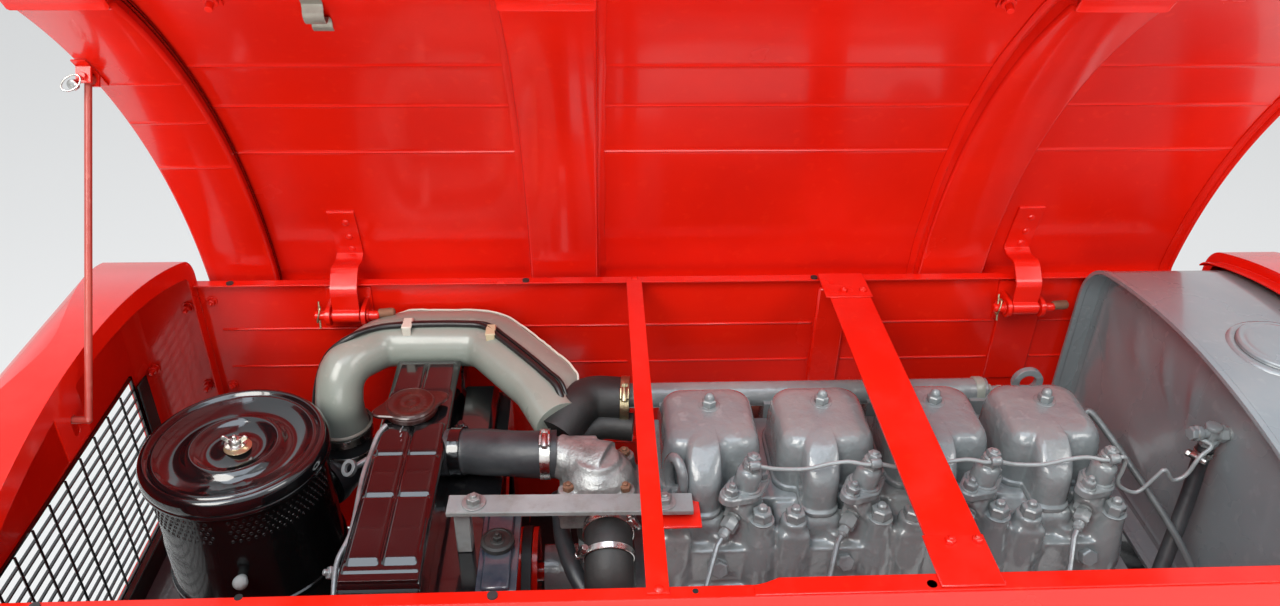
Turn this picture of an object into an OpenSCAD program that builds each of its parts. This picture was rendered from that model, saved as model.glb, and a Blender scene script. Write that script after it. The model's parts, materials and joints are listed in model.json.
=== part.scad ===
// Engine bay section of a vintage tractor with its side-hinged bonnet.
// X runs to the tractor's rear, +Y to the hinge side, +Z up.
// The origin is the centre of the clutch housing's rear flange, on the crankshaft line.

/* [Bonnet section] */
// Outer half width of the bonnet and cowls
bonnet_hw = 304; // [296:1:312]
// Height of the side panels' top edge above the crankshaft line
rail_z = 545; // [540:1:560]
// Height of the bonnet's crown above the panels' top edge
crown_rise = 95; // [85:1:110]
// Radius of the bonnet's shoulders
shoulder_r = 40; // [32:1:48]
// Thickness of the sheet metal
sheet_t = 2; // [1.6:0.1:2.4]
// Clearance between the closed lid and what it meets
lid_clear = 6; // [5:0.5:8]

/* [Lid] */
// Place of the lid's front edge along X
lid_front_x = -1525; // [-1535:1:-1515]
// Length of the lid
lid_len = 1450; // [1440:1:1455]
// Angle by which the lid stands open
lid_open = 60; // [50:1:62]
// Distance of the hinge line from the middle plane
hinge_y = 268; // [262:1:270]
// Depth of the hinge line below the panels' top edge
hinge_drop = 41; // [38:1:46]
// Radius of the hinge pins
hinge_pin_r = 6; // [5:0.5:7]
// Width of the lid's ribs along X
rib_w = 100; // [80:1:104]
// Depth of the lid's ribs
rib_d = 25; // [18:1:28]

/* [Prop rod] */
// Radius of the prop rod
prop_r = 4; // [3:0.5:5]
// Length of the prop rod from its pin to its hook
prop_len = 375; // [370:1:380]
// Length of the hook at the rod's end
prop_hook = 25; // [22:1:28]
// Place of the prop rod along X
prop_x = -1515; // [-1516:1:-1512]
// Place of the prop's pin across the closed lid, from the middle plane
prop_y = -139; // [-145:1:-130]
// Place of the prop's pin above the panels' top edge when the lid is closed
prop_z = 45; // [42:1:48]

/* [Side panels] */
// Height of a side panel
panel_h = 300; // [260:1:330]
// Width of a side panel's turned flanges
panel_flange = 15; // [12:1:18]
// Distance from the bonnet's outer face to the panel's outer face
panel_inset = 4; // [3.5:0.5:6]

/* [Nose cowl] */
// Length of the nose cowl
nose_l = 118; // [114:1:140]
// Radius between the nose's top and its front face
nose_top_r = 90; // [80:1:100]
// Radius of the nose's upright corners
nose_side_r = 32; // [26:1:38]
// Height of the nose cowl's lower edge
nose_z = 112; // [100:1:140]
// Depth of the inward web at a cowl's open edge
web_d = 25; // [20:1:30]
// Width of the grille opening
grille_w = 524; // [500:1:530]
// Height of the grille openings
grille_h = 245; // [220:1:250]
// Height of the grille openings' upper edge
grille_top = 400; // [395:1:410]
// Number of bars in the grille opening
grille_bars = 13; // [8:1:15]
// Number of upright rods in the grille opening
grille_rods = 11; // [7:1:14]

/* [Engine] */
// Distance between neighbouring cylinders
cyl_pitch = 140; // [138:1:144]
// Place of the rear cylinder along X
rear_cyl_x = -402; // [-410:1:-398]
// Height of the block's top face
deck_z = 350; // [345:1:355]
// Height of a cylinder head
head_h = 95; // [90:1:100]
// Width of a cylinder head across the engine
head_w = 214; // [205:1:220]
// Length of a rocker cover along the engine
cover_l = 122; // [112:1:128]
// Width of a rocker cover across the engine
cover_w = 122; // [110:1:126]
// Height of a rocker cover
cover_h = 76; // [70:1:80]
// Half width of the block
block_hw = 112; // [100:1:120]
// Depth of the sump below the crankshaft line
sump_z = 190; // [170:1:210]

/* [Clutch housing] */
// Length of the clutch housing
bell_l = 300; // [290:1:300]
// Radius of the clutch housing's wall
bell_r = 192; // [180:1:196]
// Thickness of the clutch housing's wall
bell_t = 9; // [7:1:12]
// Radius of the rear flange
flange_r = 216; // [212:1:222]
// Thickness of the rear flange
flange_t = 18; // [14:1:22]
// Radius of the rear flange's bolt circle
flange_bolt_r = 203; // [201:0.5:205]
// Radius of the rear flange's bolt holes
flange_hole_r = 6.5; // [5:0.5:7]
// Number of bolts in the rear flange
flange_bolts = 12; // [8:1:16]

/* [Cooling] */
// Place of the radiator's middle along X
rad_x = -1193; // [-1197:1:-1189]
// Depth of the radiator's tanks along X
rad_d = 84; // [80:1:88]
// Width of the radiator
rad_w = 400; // [390:1:408]
// Height of the header tank's top
header_z = 470; // [465:1:475]
// Height of the header tank
header_h = 80; // [70:1:90]
// Height of the bottom tank's lower face
rad_base_z = 30; // [20:1:40]
// Height of the fan's shaft
fan_z = 262; // [255:1:265]
// Radius of the fan
fan_r = 140; // [130:1:141]
// Number of fan blades
fan_blades = 6; // [4:1:8]
// Radius of the fan's shaft
fan_shaft_r = 12; // [10:0.5:13]
// Outer radius of the top hose
hose_r = 27; // [24:1:30]

/* [Air intake] */
// Place of the air cleaner along X
cleaner_x = -1411; // [-1415:1:-1400]
// Place of the air cleaner across the bay
cleaner_y = 30; // [20:1:35]
// Radius of the air cleaner's cover
cleaner_r = 114; // [108:1:116]
// Height of the air cleaner's rim
cleaner_z = 466; // [460:1:470]
// Height of the air cleaner below its rim
cleaner_h = 240; // [220:1:260]
// Radius of the air pipe
air_pipe_r = 33; // [30:1:35]
// Radius of the inlet manifold's log
inlet_r = 17; // [14:1:20]

/* [Fuel tank] */
// Place of the tank's front face along X
tank_x = -240; // [-244:1:-236]
// Length of the tank
tank_l = 258; // [250:1:262]
// Half width of the tank
tank_hw = 284; // [270:1:286]
// Distance from the bonnet's crown down to the tank's crown
tank_gap = 30; // [28:1:40]
// Height of the tank's lower face
tank_z = 300; // [290:1:330]
// Radius of the filler cap
cap_r = 53; // [46:1:56]

/* [Hidden] */
$fn = 48;

seat = 0.3;             // gap between curved pieces that seat on each other
run_gap = 0.06;         // radial gap of a pin or shaft in its bore
panel_out = bonnet_hw - panel_inset;
panel_in = panel_out - sheet_t;
crown_r = arch_radius(bonnet_hw - shoulder_r, crown_rise - lid_clear, shoulder_r);
lid_rear_x = lid_front_x + lid_len;
cowl_edge_x = lid_front_x - lid_clear;          // nose cowl's rear edge
nose_x = cowl_edge_x - nose_l;
rear_cowl_x = lid_rear_x + lid_clear + 20;      // rear cowl's front edge
hinge_z = rail_z - hinge_drop;
head_z = deck_z + head_h;
front_cyl_x = rear_cyl_x - 3 * cyl_pitch;
block_front = front_cyl_x - 92;
block_rear = -bell_l;
cyl_x = [for (i = [0 : 3]) front_cyl_x + i * cyl_pitch];
timing_t = 36;
timing_x = block_front - timing_t;
panel_z = rail_z - panel_h;
rib_x = [for (d = [2, 470, 1050]) lid_front_x + d];     // front edges of the lid's ribs
rib_low = rail_z + lid_clear + 12;      // lower ends of the lid's ribs
strap_x = [for (d = [209, 1198]) lid_front_x + d];      // middles of the hinge straps
strap_w = 38;
prop_dir = [0, -0.547, -0.837];         // run of the prop rod while it holds the lid
rad_front = rad_x - rad_d / 2;
rad_rear = rad_x + rad_d / 2;
fan_x = rad_rear + 56;                  // middle plane of the blades
pulley_x = fan_x + 42;                  // middle plane of the belt
pump_x = pulley_x + 22;                 // water pump's front face
tank_top = rail_z + crown_rise - tank_gap;

red = [0.78, 0.07, 0.04];
engine_grey = [0.50, 0.53, 0.54];
black = [0.05, 0.05, 0.055];
rubber = [0.09, 0.09, 0.09];
steel = [0.62, 0.62, 0.60];

// Radius of a crown arc that meets two shoulders of radius sr, a off the middle and h below the top.
function arch_radius(a, h, sr) = (a * a + h * h - sr * sr) / (2 * (h - sr));
// Height of the bonnet's crown, shrunk by inset, at distance y from the middle plane.
function crown_at(y, inset) = rail_z + crown_rise - crown_r + sqrt(pow(crown_r - inset, 2) - y * y);
function unit(v) = v / norm(v);
// Points of a path whose inner corners are rounded by arcs of n steps; rad is one radius or a list.
function rounded(p, rad, n = 6) = [
    for (i = [0 : len(p) - 1])
        if (i == 0 || i == len(p) - 1) p[i]
        else let (u = unit(p[i - 1] - p[i]), v = unit(p[i + 1] - p[i]), r = is_list(rad) ? rad[i] : rad,
                  half = acos(max(-1, min(1, u * v))) / 2, reach = r / tan(half),
                  c = p[i] + unit(u + v) * r / sin(half), e1 = p[i] + u * reach - c,
                  e2 = p[i] + v * reach - c, turn = 180 - 2 * half)
            for (k = [0 : n]) c + (e1 * sin(turn * (1 - k / n)) + e2 * sin(turn * k / n)) / sin(turn)
];
function tangent_at(p, i) =
    unit(p[min(i + 1, len(p) - 1)] - p[max(i - 1, 0)]);
function carried(p, i, prev) = i >= len(p) ? [] :
    let (t = tangent_at(p, i), n = unit(prev - t * (prev * t))) concat([n], carried(p, i + 1, n));

// A round tube of radius r along the points p.
module tube(p, r, sides = 16) {
    start = abs(tangent_at(p, 0)[2]) < 0.9 ? [0, 0, 1] : [1, 0, 0];
    normals = carried(p, 0, start);
    rings = len(p);
    points = [for (i = [0 : rings - 1]) let (t = tangent_at(p, i), n = normals[i], b = cross(t, n))
        for (k = [0 : sides - 1]) p[i] + r * (n * cos(360 * k / sides) + b * sin(360 * k / sides))];
    polyhedron(points, concat(
        [[for (k = [sides - 1 : -1 : 0]) k]],
        [for (i = [0 : rings - 2], k = [0 : sides - 1])
            let (a = i * sides + k, c = i * sides + (k + 1) % sides) [a, c, c + sides, a + sides]],
        [[for (k = [0 : sides - 1]) (rings - 1) * sides + k]]));
}
// Cylinders along X and Y.
module rod_x(x0, x1, r) translate([x0, 0, 0]) rotate([0, 90, 0]) cylinder(h = x1 - x0, r = r);
module rod_y(y0, y1, r) translate([0, y0, 0]) rotate([-90, 0, 0]) cylinder(h = y1 - y0, r = r);
// An outline in the YZ plane, drawn from x0 to x1.
module along_x(x0, x1) translate([x0, 0, 0]) rotate([90, 0, 90]) linear_extrude(x1 - x0) children();
// An outline in the XZ plane, drawn from y0 to y1.
module along_y(y0, y1) translate([0, y1, 0]) rotate([90, 0, 0]) linear_extrude(y1 - y0) children();
module box(x, y, z) translate([x[0], y[0], z[0]]) cube([x[1] - x[0], y[1] - y[0], z[1] - z[0]]);
// A strip of thickness t along the flat points p.
module ribbon(p, t) {
    sides = [for (s = [1, -1]) [for (i = [0 : len(p) - 1])
        let (d = tangent_at(p, i)) p[i] + s * t / 2 * [-d[1], d[0]]]];
    polygon(concat(sides[0], [for (i = [len(p) - 1 : -1 : 0]) sides[1][i]]));
}
module hexagon(h, across) cylinder(h = h, d = across / cos(30), $fn = 6);

// An arch of half width hw: shoulders of radius sr centred at zs, a crown that meets them at
// a tangent and tops out at top. It is shrunk by inset and cut off level at z_low.
module arch(hw, sr, zs, top, inset, z_low) difference() {
    a = hw - sr;
    cr = arch_radius(a, top - zs, sr);
    zc = top - cr;
    reach = (cr - inset) / (cr - sr);
    union() {
        intersection() {
            translate([0, zc]) circle(cr - inset, $fn = 360);
            polygon([[-a, zs], [a, zs], [a * reach, zc + (zs - zc) * reach + 1],
                [0, top + cr], [-a * reach, zc + (zs - zc) * reach + 1]]);
        }
        for (s = [-1, 1]) translate([s * a, zs]) circle(sr - inset);
        if (z_low < zs) translate([-hw + inset, z_low]) square([2 * (hw - inset), zs - z_low]);
    }
    translate([-hw - 1, z_low - 2 * sr]) square([2 * hw + 2, 2 * sr]);
}
// The bonnet's cross-section.
module section(inset, z_low)
    arch(bonnet_hw, shoulder_r, rail_z + lid_clear, rail_z + crown_rise, inset, z_low);
// A skin between two insets of the section.
module skin(outer, inner, z_low) difference() {
    section(outer, z_low);
    section(inner, z_low - 1);
}
// Places children where the closed lid's pieces stand when it is open.
module opened() translate([0, hinge_y, hinge_z]) rotate([-lid_open, 0, 0])
    translate([0, -hinge_y, -hinge_z]) children();

// Clutch housing: a bell with a bored front wall and a drilled rear flange.
module clutch_housing() color(engine_grey) difference() {
    union() {
        rod_x(-bell_l, 0, bell_r);
        rod_x(-flange_t, 0, flange_r);
        rod_x(-bell_l, -bell_l + flange_t, bell_r + 12);
    }
    rod_x(-bell_l + 12, 1, bell_r - bell_t);
    rod_x(-bell_l - 1, -bell_l + 13, 62);
    for (i = [0 : flange_bolts - 1]) rotate([i * 360 / flange_bolts, 0, 0])
        translate([0, 0, flange_bolt_r]) rod_x(-flange_t - 1, 1, flange_hole_r);
}

// Flywheel with its starter ring and the clutch cover on it.
module flywheel() color(steel) {
    difference() {
        union() {
            rod_x(block_rear, block_rear + 34, 45);
            rod_x(block_rear + 34, block_rear + 76, 160);
            rod_x(block_rear + 44, block_rear + 62, 168);
            rod_x(block_rear + 76, block_rear + 104, 138);
            rod_x(block_rear + 104, block_rear + 120, 96);
        }
        rod_x(block_rear + 60, block_rear + 121, 32);
    }
}

sump_top = -60;
module engine_block() color(engine_grey) {
    box([block_front, block_rear], [-block_hw, block_hw], [sump_top, deck_z]);
    box([block_front, block_rear], [-block_hw - 14, block_hw + 14], [sump_top, sump_top + 20]);
    for (x = cyl_x) box([x - 45, x + 45], [-block_hw - 4, block_hw + 4], [150, 320]);
}

module sump() color(engine_grey) {
    box([block_front, block_rear], [-block_hw - 14, block_hw + 14], [sump_top - 15, sump_top]);
    box([block_front + 20, block_rear - 20], [-95, 95], [-sump_z, sump_top - 15]);
}

// Timing case on the block's front face.
module timing_cover() color(engine_grey) {
    along_x(timing_x, block_front) {
        circle(115);
        translate([0, fan_z - 40]) circle(90);
        translate([-90, 0]) square([180, fan_z - 40]);
    }
    rod_x(timing_x - 18, timing_x, 46);
}

// Cylinder heads: one to a cylinder, with a low ledge and tall bosses on the near side.
ledge_z = head_z - 30;
nut_z = head_z + 8;             // tops of the nuts' bosses
nut_dx = [-48, 53];
nut_y = -104;
injector_dx = 33;
injector_y = -82;
clamp_z = head_z + 32;          // tops of the injectors' bosses
module cylinder_heads() color(engine_grey) for (x = cyl_x) {
    box([x - 68, x + 68], [-62, head_w / 2 - 12], [deck_z, head_z]);
    box([x - 68, x + 68], [-head_w / 2 - 10, -62], [deck_z, ledge_z]);
    box([x - 37, x + 9], [-94, -62], [ledge_z, head_z]);
    for (dx = nut_dx) translate([x + dx, nut_y, ledge_z]) cylinder(h = nut_z - ledge_z, r = 15);
    translate([x + injector_dx, injector_y, ledge_z]) cylinder(h = clamp_z - ledge_z, r = 14);
    translate([x + 5, -96, ledge_z]) cylinder(h = 12, r = 12);
}

// Rocker covers: domed lids with rounded corners and a lobe towards the near side, drawn as
// rings of one outline that close over the top.
cover_y = 12;           // middle of the cover's square across the engine
lobe_x = [-36, 8];      // sides of the lobe
lobe_y = -104;          // end of the lobe
dome_rings = [[1, 0], [1.03, 0.04], [1.03, 0.08], [1, 0.11], [0.985, 0.45], [0.965, 0.62], [0.92, 0.78],
    [0.84, 0.89], [0.68, 0.96], [0.4, 0.995]];          // share of the plan size, share of the height
module rocker_covers() color(engine_grey) for (x = cyl_x) translate([x, cover_y, head_z]) {
    l = cover_l / 2;
    w = cover_w / 2;
    path = rounded([[0, w], [-l, w], [-l, -w], [lobe_x[0], -w], [lobe_x[0], lobe_y], [lobe_x[1], lobe_y],
        [lobe_x[1], -w], [l, -w], [l, w], [0, w]], [0, 26, 20, 3, 15, 15, 8, 24, 26, 0], 4);
    sides = len(path) - 1;
    rings = len(dome_rings);
    polyhedron([for (r = dome_rings, k = [0 : sides - 1]) [path[k][0] * r[0], path[k][1] * r[0], r[1] * cover_h]],
        concat([[for (k = [sides - 1 : -1 : 0]) k]],
        [for (i = [0 : rings - 2], k = [0 : sides - 1])
            let (a = i * sides + k, c = i * sides + (k + 1) % sides) [a, c, c + sides, a + sides]],
        [[for (k = [0 : sides - 1]) (rings - 1) * sides + k]]));
}

// Injectors stand on the heads' near side, each under a two-bolt clamp, with its pipe's union.
union_dir = [-0.55, -0.75, -0.37];
union_start = 18;
union_end = 42;
module injectors() color(steel) for (x = cyl_x) translate([x + injector_dx, injector_y, clamp_z]) {
    // clamp with rounded ends, and its two nuts
    linear_extrude(9) for (s = [-1, 1]) hull() {
        circle(15);
        translate([0, s * 20]) circle(9);
    }
    for (s = [-1, 1]) translate([0, s * 21, 9]) hexagon(8, 13);
    translate([0, 0, 9]) cylinder(h = 24, r = 12);
    translate([0, 0, 33]) hexagon(11, 19);
    translate([0, 0, 44]) cylinder(h = 7, r = 8.5);
    translate([0, 0, 51]) hexagon(7, 13);
    translate([0, 0, -18]) multmatrix(aim(union_dir)) {
        translate([0, 0, union_start]) cylinder(h = union_end - union_start, r = 6);
        translate([0, 0, 24]) hexagon(14, 17);
    }
}
// Frame whose Z runs along the given direction.
function aim(d) = let (w = unit(d), u = unit(cross([0, 0, 1], w)), v = cross(w, u))
    [[u[0], v[0], w[0], 0], [u[1], v[1], w[1], 0], [u[2], v[2], w[2], 0], [0, 0, 0, 1]];

module head_nuts() color(engine_grey) for (x = cyl_x, dx = nut_dx) translate([x + dx, nut_y, nut_z]) {
    cylinder(h = 3, r = 13.5);
    translate([0, 0, 3]) hexagon(16, 22);
    translate([0, 0, 19]) cylinder(h = 4, r = 8);
}

pump_x0 = front_cyl_x + 22;
pump_y = -178;
pump_top = 330;
module injection_pump() color(engine_grey) {
    box([pump_x0, pump_x0 + 240], [pump_y - 40, pump_y + 40], [170, pump_top - 60]);
    for (i = [0 : 3]) translate([pump_x0 + 45 + 50 * i, pump_y, pump_top - 60]) cylinder(h = 60, r = 13);
    box([pump_x0 + 40, pump_x0 + 200], [pump_y + 40, -block_hw - 4], [190, 250]);
}

module injector_pipes() color(steel) for (i = [0 : 3]) {
    base = [cyl_x[i] + injector_dx, injector_y, clamp_z - 18];
    w = unit(union_dir);
    low = [pump_x0 + 45 + 50 * i, pump_y, pump_top + seat];
    tube(rounded([base + w * (union_end + seat), base + w * 62, [base[0] - 58, pump_y - 8, head_z - 50],
        [low[0], pump_y, low[2] + 40], low], 12, 3), 3.2, 8);
}

// Leak-off line past the injectors' tops, with a wavy run to the tank's tap.
module leak_off_line() color(steel) {
    line_r = 2.4;
    top = [injector_dx, injector_y + 8.5 + line_r + 2 * seat, clamp_z + 47.5];
    runs = [for (x = cyl_x) each [[x, 0, 0] + top, [x + 60, 0, 0] + top - [0, 4, 8], [x + 100, 0, 0] + top - [0, 5, 7]]];
    last = [cyl_x[3], 0, 0] + top;
    tube(concat([for (i = [0 : 9]) runs[i]], [last + [14, -2, -6], last + [26, -8, -26],
        last + [44, -10, -34], last + [58, -8, -18], last + [74, -6, -22], last + [100, 0, 0],
        [tap_x - 20, tap_y, tap_z]]), line_r, 8);
}

// Ring to lift the engine by, fixed beside the front rocker cover.
module lifting_ring() color(engine_grey) translate([front_cyl_x - 48, -66, head_z]) {
    translate([0, 0, 30]) rotate([0, 90, 26]) rotate_extrude() translate([20, 0]) circle(5);
    translate([-9, -18, -30]) cube([18, 21.5, 41]);
}

module lifting_eye() color(engine_grey) translate([rear_cyl_x + 8, head_w / 2 - 28, head_z]) difference() {
    union() {
        translate([0, 0, 62]) rotate([-90, 0, 0]) cylinder(h = 8, r = 20);
        translate([-14, 0, 0]) cube([28, 8, 62]);
    }
    translate([0, -1, 62]) rotate([-90, 0, 0]) cylinder(h = 10, r = 11);
}

// Inlet manifold: a log beside the heads with one branch to each.
inlet_y = head_w / 2 + 12;
inlet_z = head_z + 21;
inlet_end = front_cyl_x - 96;
module inlet_manifold() color(engine_grey) {
    translate([0, inlet_y, inlet_z]) {
        rod_x(inlet_end, cyl_x[3] - 28, inlet_r);
        rod_x(cyl_x[3] - 29, cyl_x[3] - 8, 6);
    }
    for (x = cyl_x) box([x - 55, x - 15], [head_w / 2 - 12, head_w / 2 + 20], [head_z - 60, inlet_z]);
}

exhaust_y = block_hw + 58;
exhaust_z = 372;
module exhaust_manifold() color([0.35, 0.27, 0.22]) {
    difference() {
        union() {
            translate([0, exhaust_y, exhaust_z]) rod_x(cyl_x[0] - 20, cyl_x[3] + 62, 30);
            for (x = cyl_x) box([x + 5, x + 45], [head_w / 2 - 12, exhaust_y], [deck_z + 6, deck_z + 42]);
            translate([cyl_x[3] + 30, exhaust_y, 240]) cylinder(h = exhaust_z - 240, r = 32);
            translate([cyl_x[3] + 30, exhaust_y, 240]) cylinder(h = 12, r = 52);
        }
        translate([cyl_x[3] + 30, exhaust_y, 239]) cylinder(h = 101, r = 26);
    }
}

pump_inlet_x = timing_x - 15;
module water_pump() color(engine_grey) difference() {
    union() {
        translate([0, 0, fan_z]) {
            rod_x(pump_x, timing_x, 36);
            rod_x(timing_x - 30, timing_x, 62);
            translate([pump_inlet_x, 0, 0]) rod_y(40, 88, 15);
        }
        box([timing_x - 34, timing_x], [-70, -30], [fan_z + 20, fan_z + 120]);
    }
    translate([0, 0, fan_z]) rod_x(pump_x - 1, pump_x + 46, fan_shaft_r + run_gap);
}

// Thermostat housing: a cast elbow on a flange, set forward of the heads on an outlet.
head_front = front_cyl_x - 68;
therm_x0 = head_front - 116;
therm_x1 = head_front - 24;
therm_y = -22;
hose_z = head_z + 18;           // height of the top hose at the housing
hose_y = therm_y + 28;
module thermostat_housing() color(steel) {
    box([therm_x0, therm_x1], [therm_y - 50, therm_y + 50], [head_z - 34, head_z - 6]);
    box([therm_x1, head_front], [therm_y - 26, therm_y + 26], [head_z - 34, head_z - 8]);
    translate([therm_x0 + 46, therm_y, head_z - 6]) cylinder(h = 14, r = 44);
    translate([therm_x0 + 46, therm_y, head_z + 8]) cylinder(h = 30, r1 = 44, r2 = 26);
    translate([0, hose_y, hose_z]) rod_x(therm_x0 - 32, therm_x0 + 46, hose_r - 5);
}

module top_hose() color(rubber) difference() {
    p = rounded([[rad_rear + seat, 40, header_z - hose_r - 1], [rad_rear + 50, 40, header_z - hose_r - 1],
        [therm_x0 - 60, hose_y, hose_z], [therm_x0 - 8, hose_y, hose_z]], 30, 4);
    tube(p, hose_r, 20);
    translate([0, hose_y, hose_z]) rod_x(therm_x0 - 33, therm_x0, hose_r - 5 + seat);
}

module bypass_hose() color(rubber) translate([timing_x - 17, -50, fan_z + 120 + seat])
    cylinder(h = head_z - 34 - fan_z - 120 - 2 * seat, r = 19);

lower_y = rad_w / 2 - 50;
module lower_hose() color(rubber)
    tube(rounded([[rad_rear + seat, lower_y, rad_base_z + 30], [rad_rear + 90, lower_y, rad_base_z + 30],
        [pump_inlet_x, lower_y, 150], [pump_inlet_x, lower_y, fan_z],
        [pump_inlet_x, 88 + seat, fan_z]], 34, 4), 20, 14);

crank_r = 74;
fan_pulley_r = 60;
gen_pulley_r = 38;
gen_y = -165;
gen_z = 205;
gen_r = 48;
module crank_pulley() color(black) difference() {
    union() {
        rod_x(pulley_x - 14, pulley_x + 14, crank_r);
        rod_x(pulley_x - 20, timing_x - 18, 28);
    }
    groove(crank_r);
}
// Groove of a pulley of radius r at the belt's plane.
module groove(r) difference() {
    rod_x(pulley_x - 7, pulley_x + 7, r + 1);
    rod_x(pulley_x - 8, pulley_x + 8, r - 10);
}

module generator() color(black) translate([0, gen_y, gen_z]) difference() {
    union() {
        rod_x(pulley_x - 12, pulley_x + 12, gen_pulley_r);
        rod_x(pulley_x - 12, pulley_x + 40, 12);
        rod_x(pulley_x + 40, block_front + 26, gen_r);
        box([block_front + 2, block_front + 20], [0, -block_hw - gen_y], [-30, 30]);
    }
    groove(gen_pulley_r);
}

// Belt round the crank, fan and generator pulleys.
belt_stops = [[0, 0, crank_r], [0, fan_z, fan_pulley_r], [gen_y, gen_z, gen_pulley_r]];   // y, z, radius
module belt_outline(extra) hull() for (b = belt_stops) translate([b[0], b[1]]) circle(b[2] - 10 + extra, $fn = 72);
module fan_belt() color(rubber) along_x(pulley_x - 6, pulley_x + 6) difference() {
    belt_outline(11);
    belt_outline(1);
}

module fan() color(red) translate([0, 0, fan_z]) {
    difference() {
        union() {
            rod_x(pulley_x, pump_x + 44, fan_shaft_r);
            rod_x(pulley_x - 14, pulley_x + 14, fan_pulley_r);
            rod_x(fan_x - 8, pulley_x, 34);
        }
        groove(fan_pulley_r);
    }
    for (i = [0 : fan_blades - 1]) rotate([i * 360 / fan_blades, 0, 0])
        translate([fan_x, 0, 30]) rotate([0, 0, 28]) translate([-2, -24, 0]) cube([4, 48, fan_r - 32]);
}

module radiator() color(black) {
    box([rad_front, rad_rear], [-rad_w / 2, rad_w / 2], [header_z - header_h, header_z]);
    box([rad_front + 12, rad_rear - 12], [-rad_w / 2 + 10, rad_w / 2 - 10], [rad_base_z, header_z - header_h]);
    box([rad_front, rad_rear], [-rad_w / 2, rad_w / 2], [rad_base_z, rad_base_z + 60]);
    for (s = [-1, 1]) box([rad_front - 4, rad_rear - 2], [s * rad_w / 2 - 6, s * rad_w / 2 + 6],
        [rad_base_z, header_z - 20]);
}

cap_y = 95;
module radiator_cap() color([0.2, 0.05, 0.04]) translate([rad_x - 6, cap_y, header_z]) {
    cylinder(h = 8, r = 30);
    translate([0, 0, 8]) cylinder(h = 10, r = 39);
    translate([-49, -8, 10]) cube([98, 16, 5]);
}

shroud_hh = fan_r + 12;         // half height of the shroud
module fan_shroud() color(black) difference() {
    box([rad_rear, rad_rear + 70], [-rad_w / 2, rad_w / 2], [fan_z - shroud_hh, fan_z + shroud_hh]);
    box([rad_rear - 1, rad_rear + 67], [-rad_w / 2 + 3, rad_w / 2 - 3],
        [fan_z - shroud_hh + 3, fan_z + shroud_hh - 3]);
    translate([0, 0, fan_z]) rod_x(rad_rear + 60, rad_rear + 80, fan_r + 8);
}

// Alloy bar from a post on the shroud to the front head's nut.
bar_z = nut_z + 23 + seat;
bar_ends = [[rad_rear + 36, -100], [front_cyl_x + nut_dx[0], nut_y]];
module stay_bar() color(steel) {
    d = bar_ends[1] - bar_ends[0];
    translate([bar_ends[0][0], bar_ends[0][1], bar_z]) rotate(atan2(d[1], d[0]))
        translate([-14, -14, 0]) cube([norm(d) + 28, 28, 6]);
    translate([bar_ends[0][0] - 10, bar_ends[0][1] - 10, fan_z + shroud_hh])
        cube([20, 20, bar_z - fan_z - shroud_hh]);
}

// Run of the steel air pipe, from the cleaner's rubber elbow to the manifold's.
air_path = [[-1316, 163, 396], [-1316, 163, 426], [-1313, 188, 474], [-1262, 240, 474], [-1122, 237, 474],
    [-1040, 130, 472], [-1020, 96, 468]];
outlet_z = air_path[0][2] - 76;         // height of the air cleaner's outlet
outlet_run = [air_path[0][0] - cleaner_x, air_path[0][1] - cleaner_y];
outlet_l = cleaner_r + 6;
module air_cleaner_body() color(black) translate([cleaner_x, cleaner_y, 0]) {
    translate([0, 0, cleaner_z - 110]) cylinder(h = 104, r = cleaner_r - 8);
    translate([0, 0, cleaner_z - cleaner_h]) cylinder(h = cleaner_h - 110, r = cleaner_r - 4);
    translate([0, 0, outlet_z]) rotate([0, 90, atan2(outlet_run[1], outlet_run[0])])
        cylinder(h = outlet_l, r = air_pipe_r);
}

module air_cleaner_cover() color(black) translate([cleaner_x, cleaner_y, cleaner_z - 6])
    rotate_extrude() polygon([[0, 0], [cleaner_r - 8 + seat, 0], [cleaner_r - 8 + seat, -14], [cleaner_r - 2, -14],
        [cleaner_r, 0], [cleaner_r - 3, 6], [cleaner_r - 12, 8], [cleaner_r - 22, 3], [60, 5],
        [40, 1], [14, 4], [8, 14], [0, 14]]);

module air_pipe() color([0.55, 0.58, 0.53]) tube(rounded(air_path, 44, 4), air_pipe_r, 18);
module air_elbow() color(rubber) {
    out = unit(outlet_run);
    start = [cleaner_x + out[0] * (outlet_l + seat), cleaner_y + out[1] * (outlet_l + seat), outlet_z];
    bend = [air_path[0][0], air_path[0][1], outlet_z];
    tube(rounded([start, bend, air_path[0] - [0, 0, seat]], 42, 5), air_pipe_r + 4, 18);
}
module manifold_elbow() color(rubber) {
    last = len(air_path) - 1;
    on = unit(air_path[last] - air_path[last - 1]);
    tube(rounded([air_path[last] + seat * on, air_path[last] + 30 * on, [inlet_end - 28, inlet_y, inlet_z],
        [inlet_end - seat, inlet_y, inlet_z]], [0, 24, 24, 0], 5), inlet_r + 5, 16);
}

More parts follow.
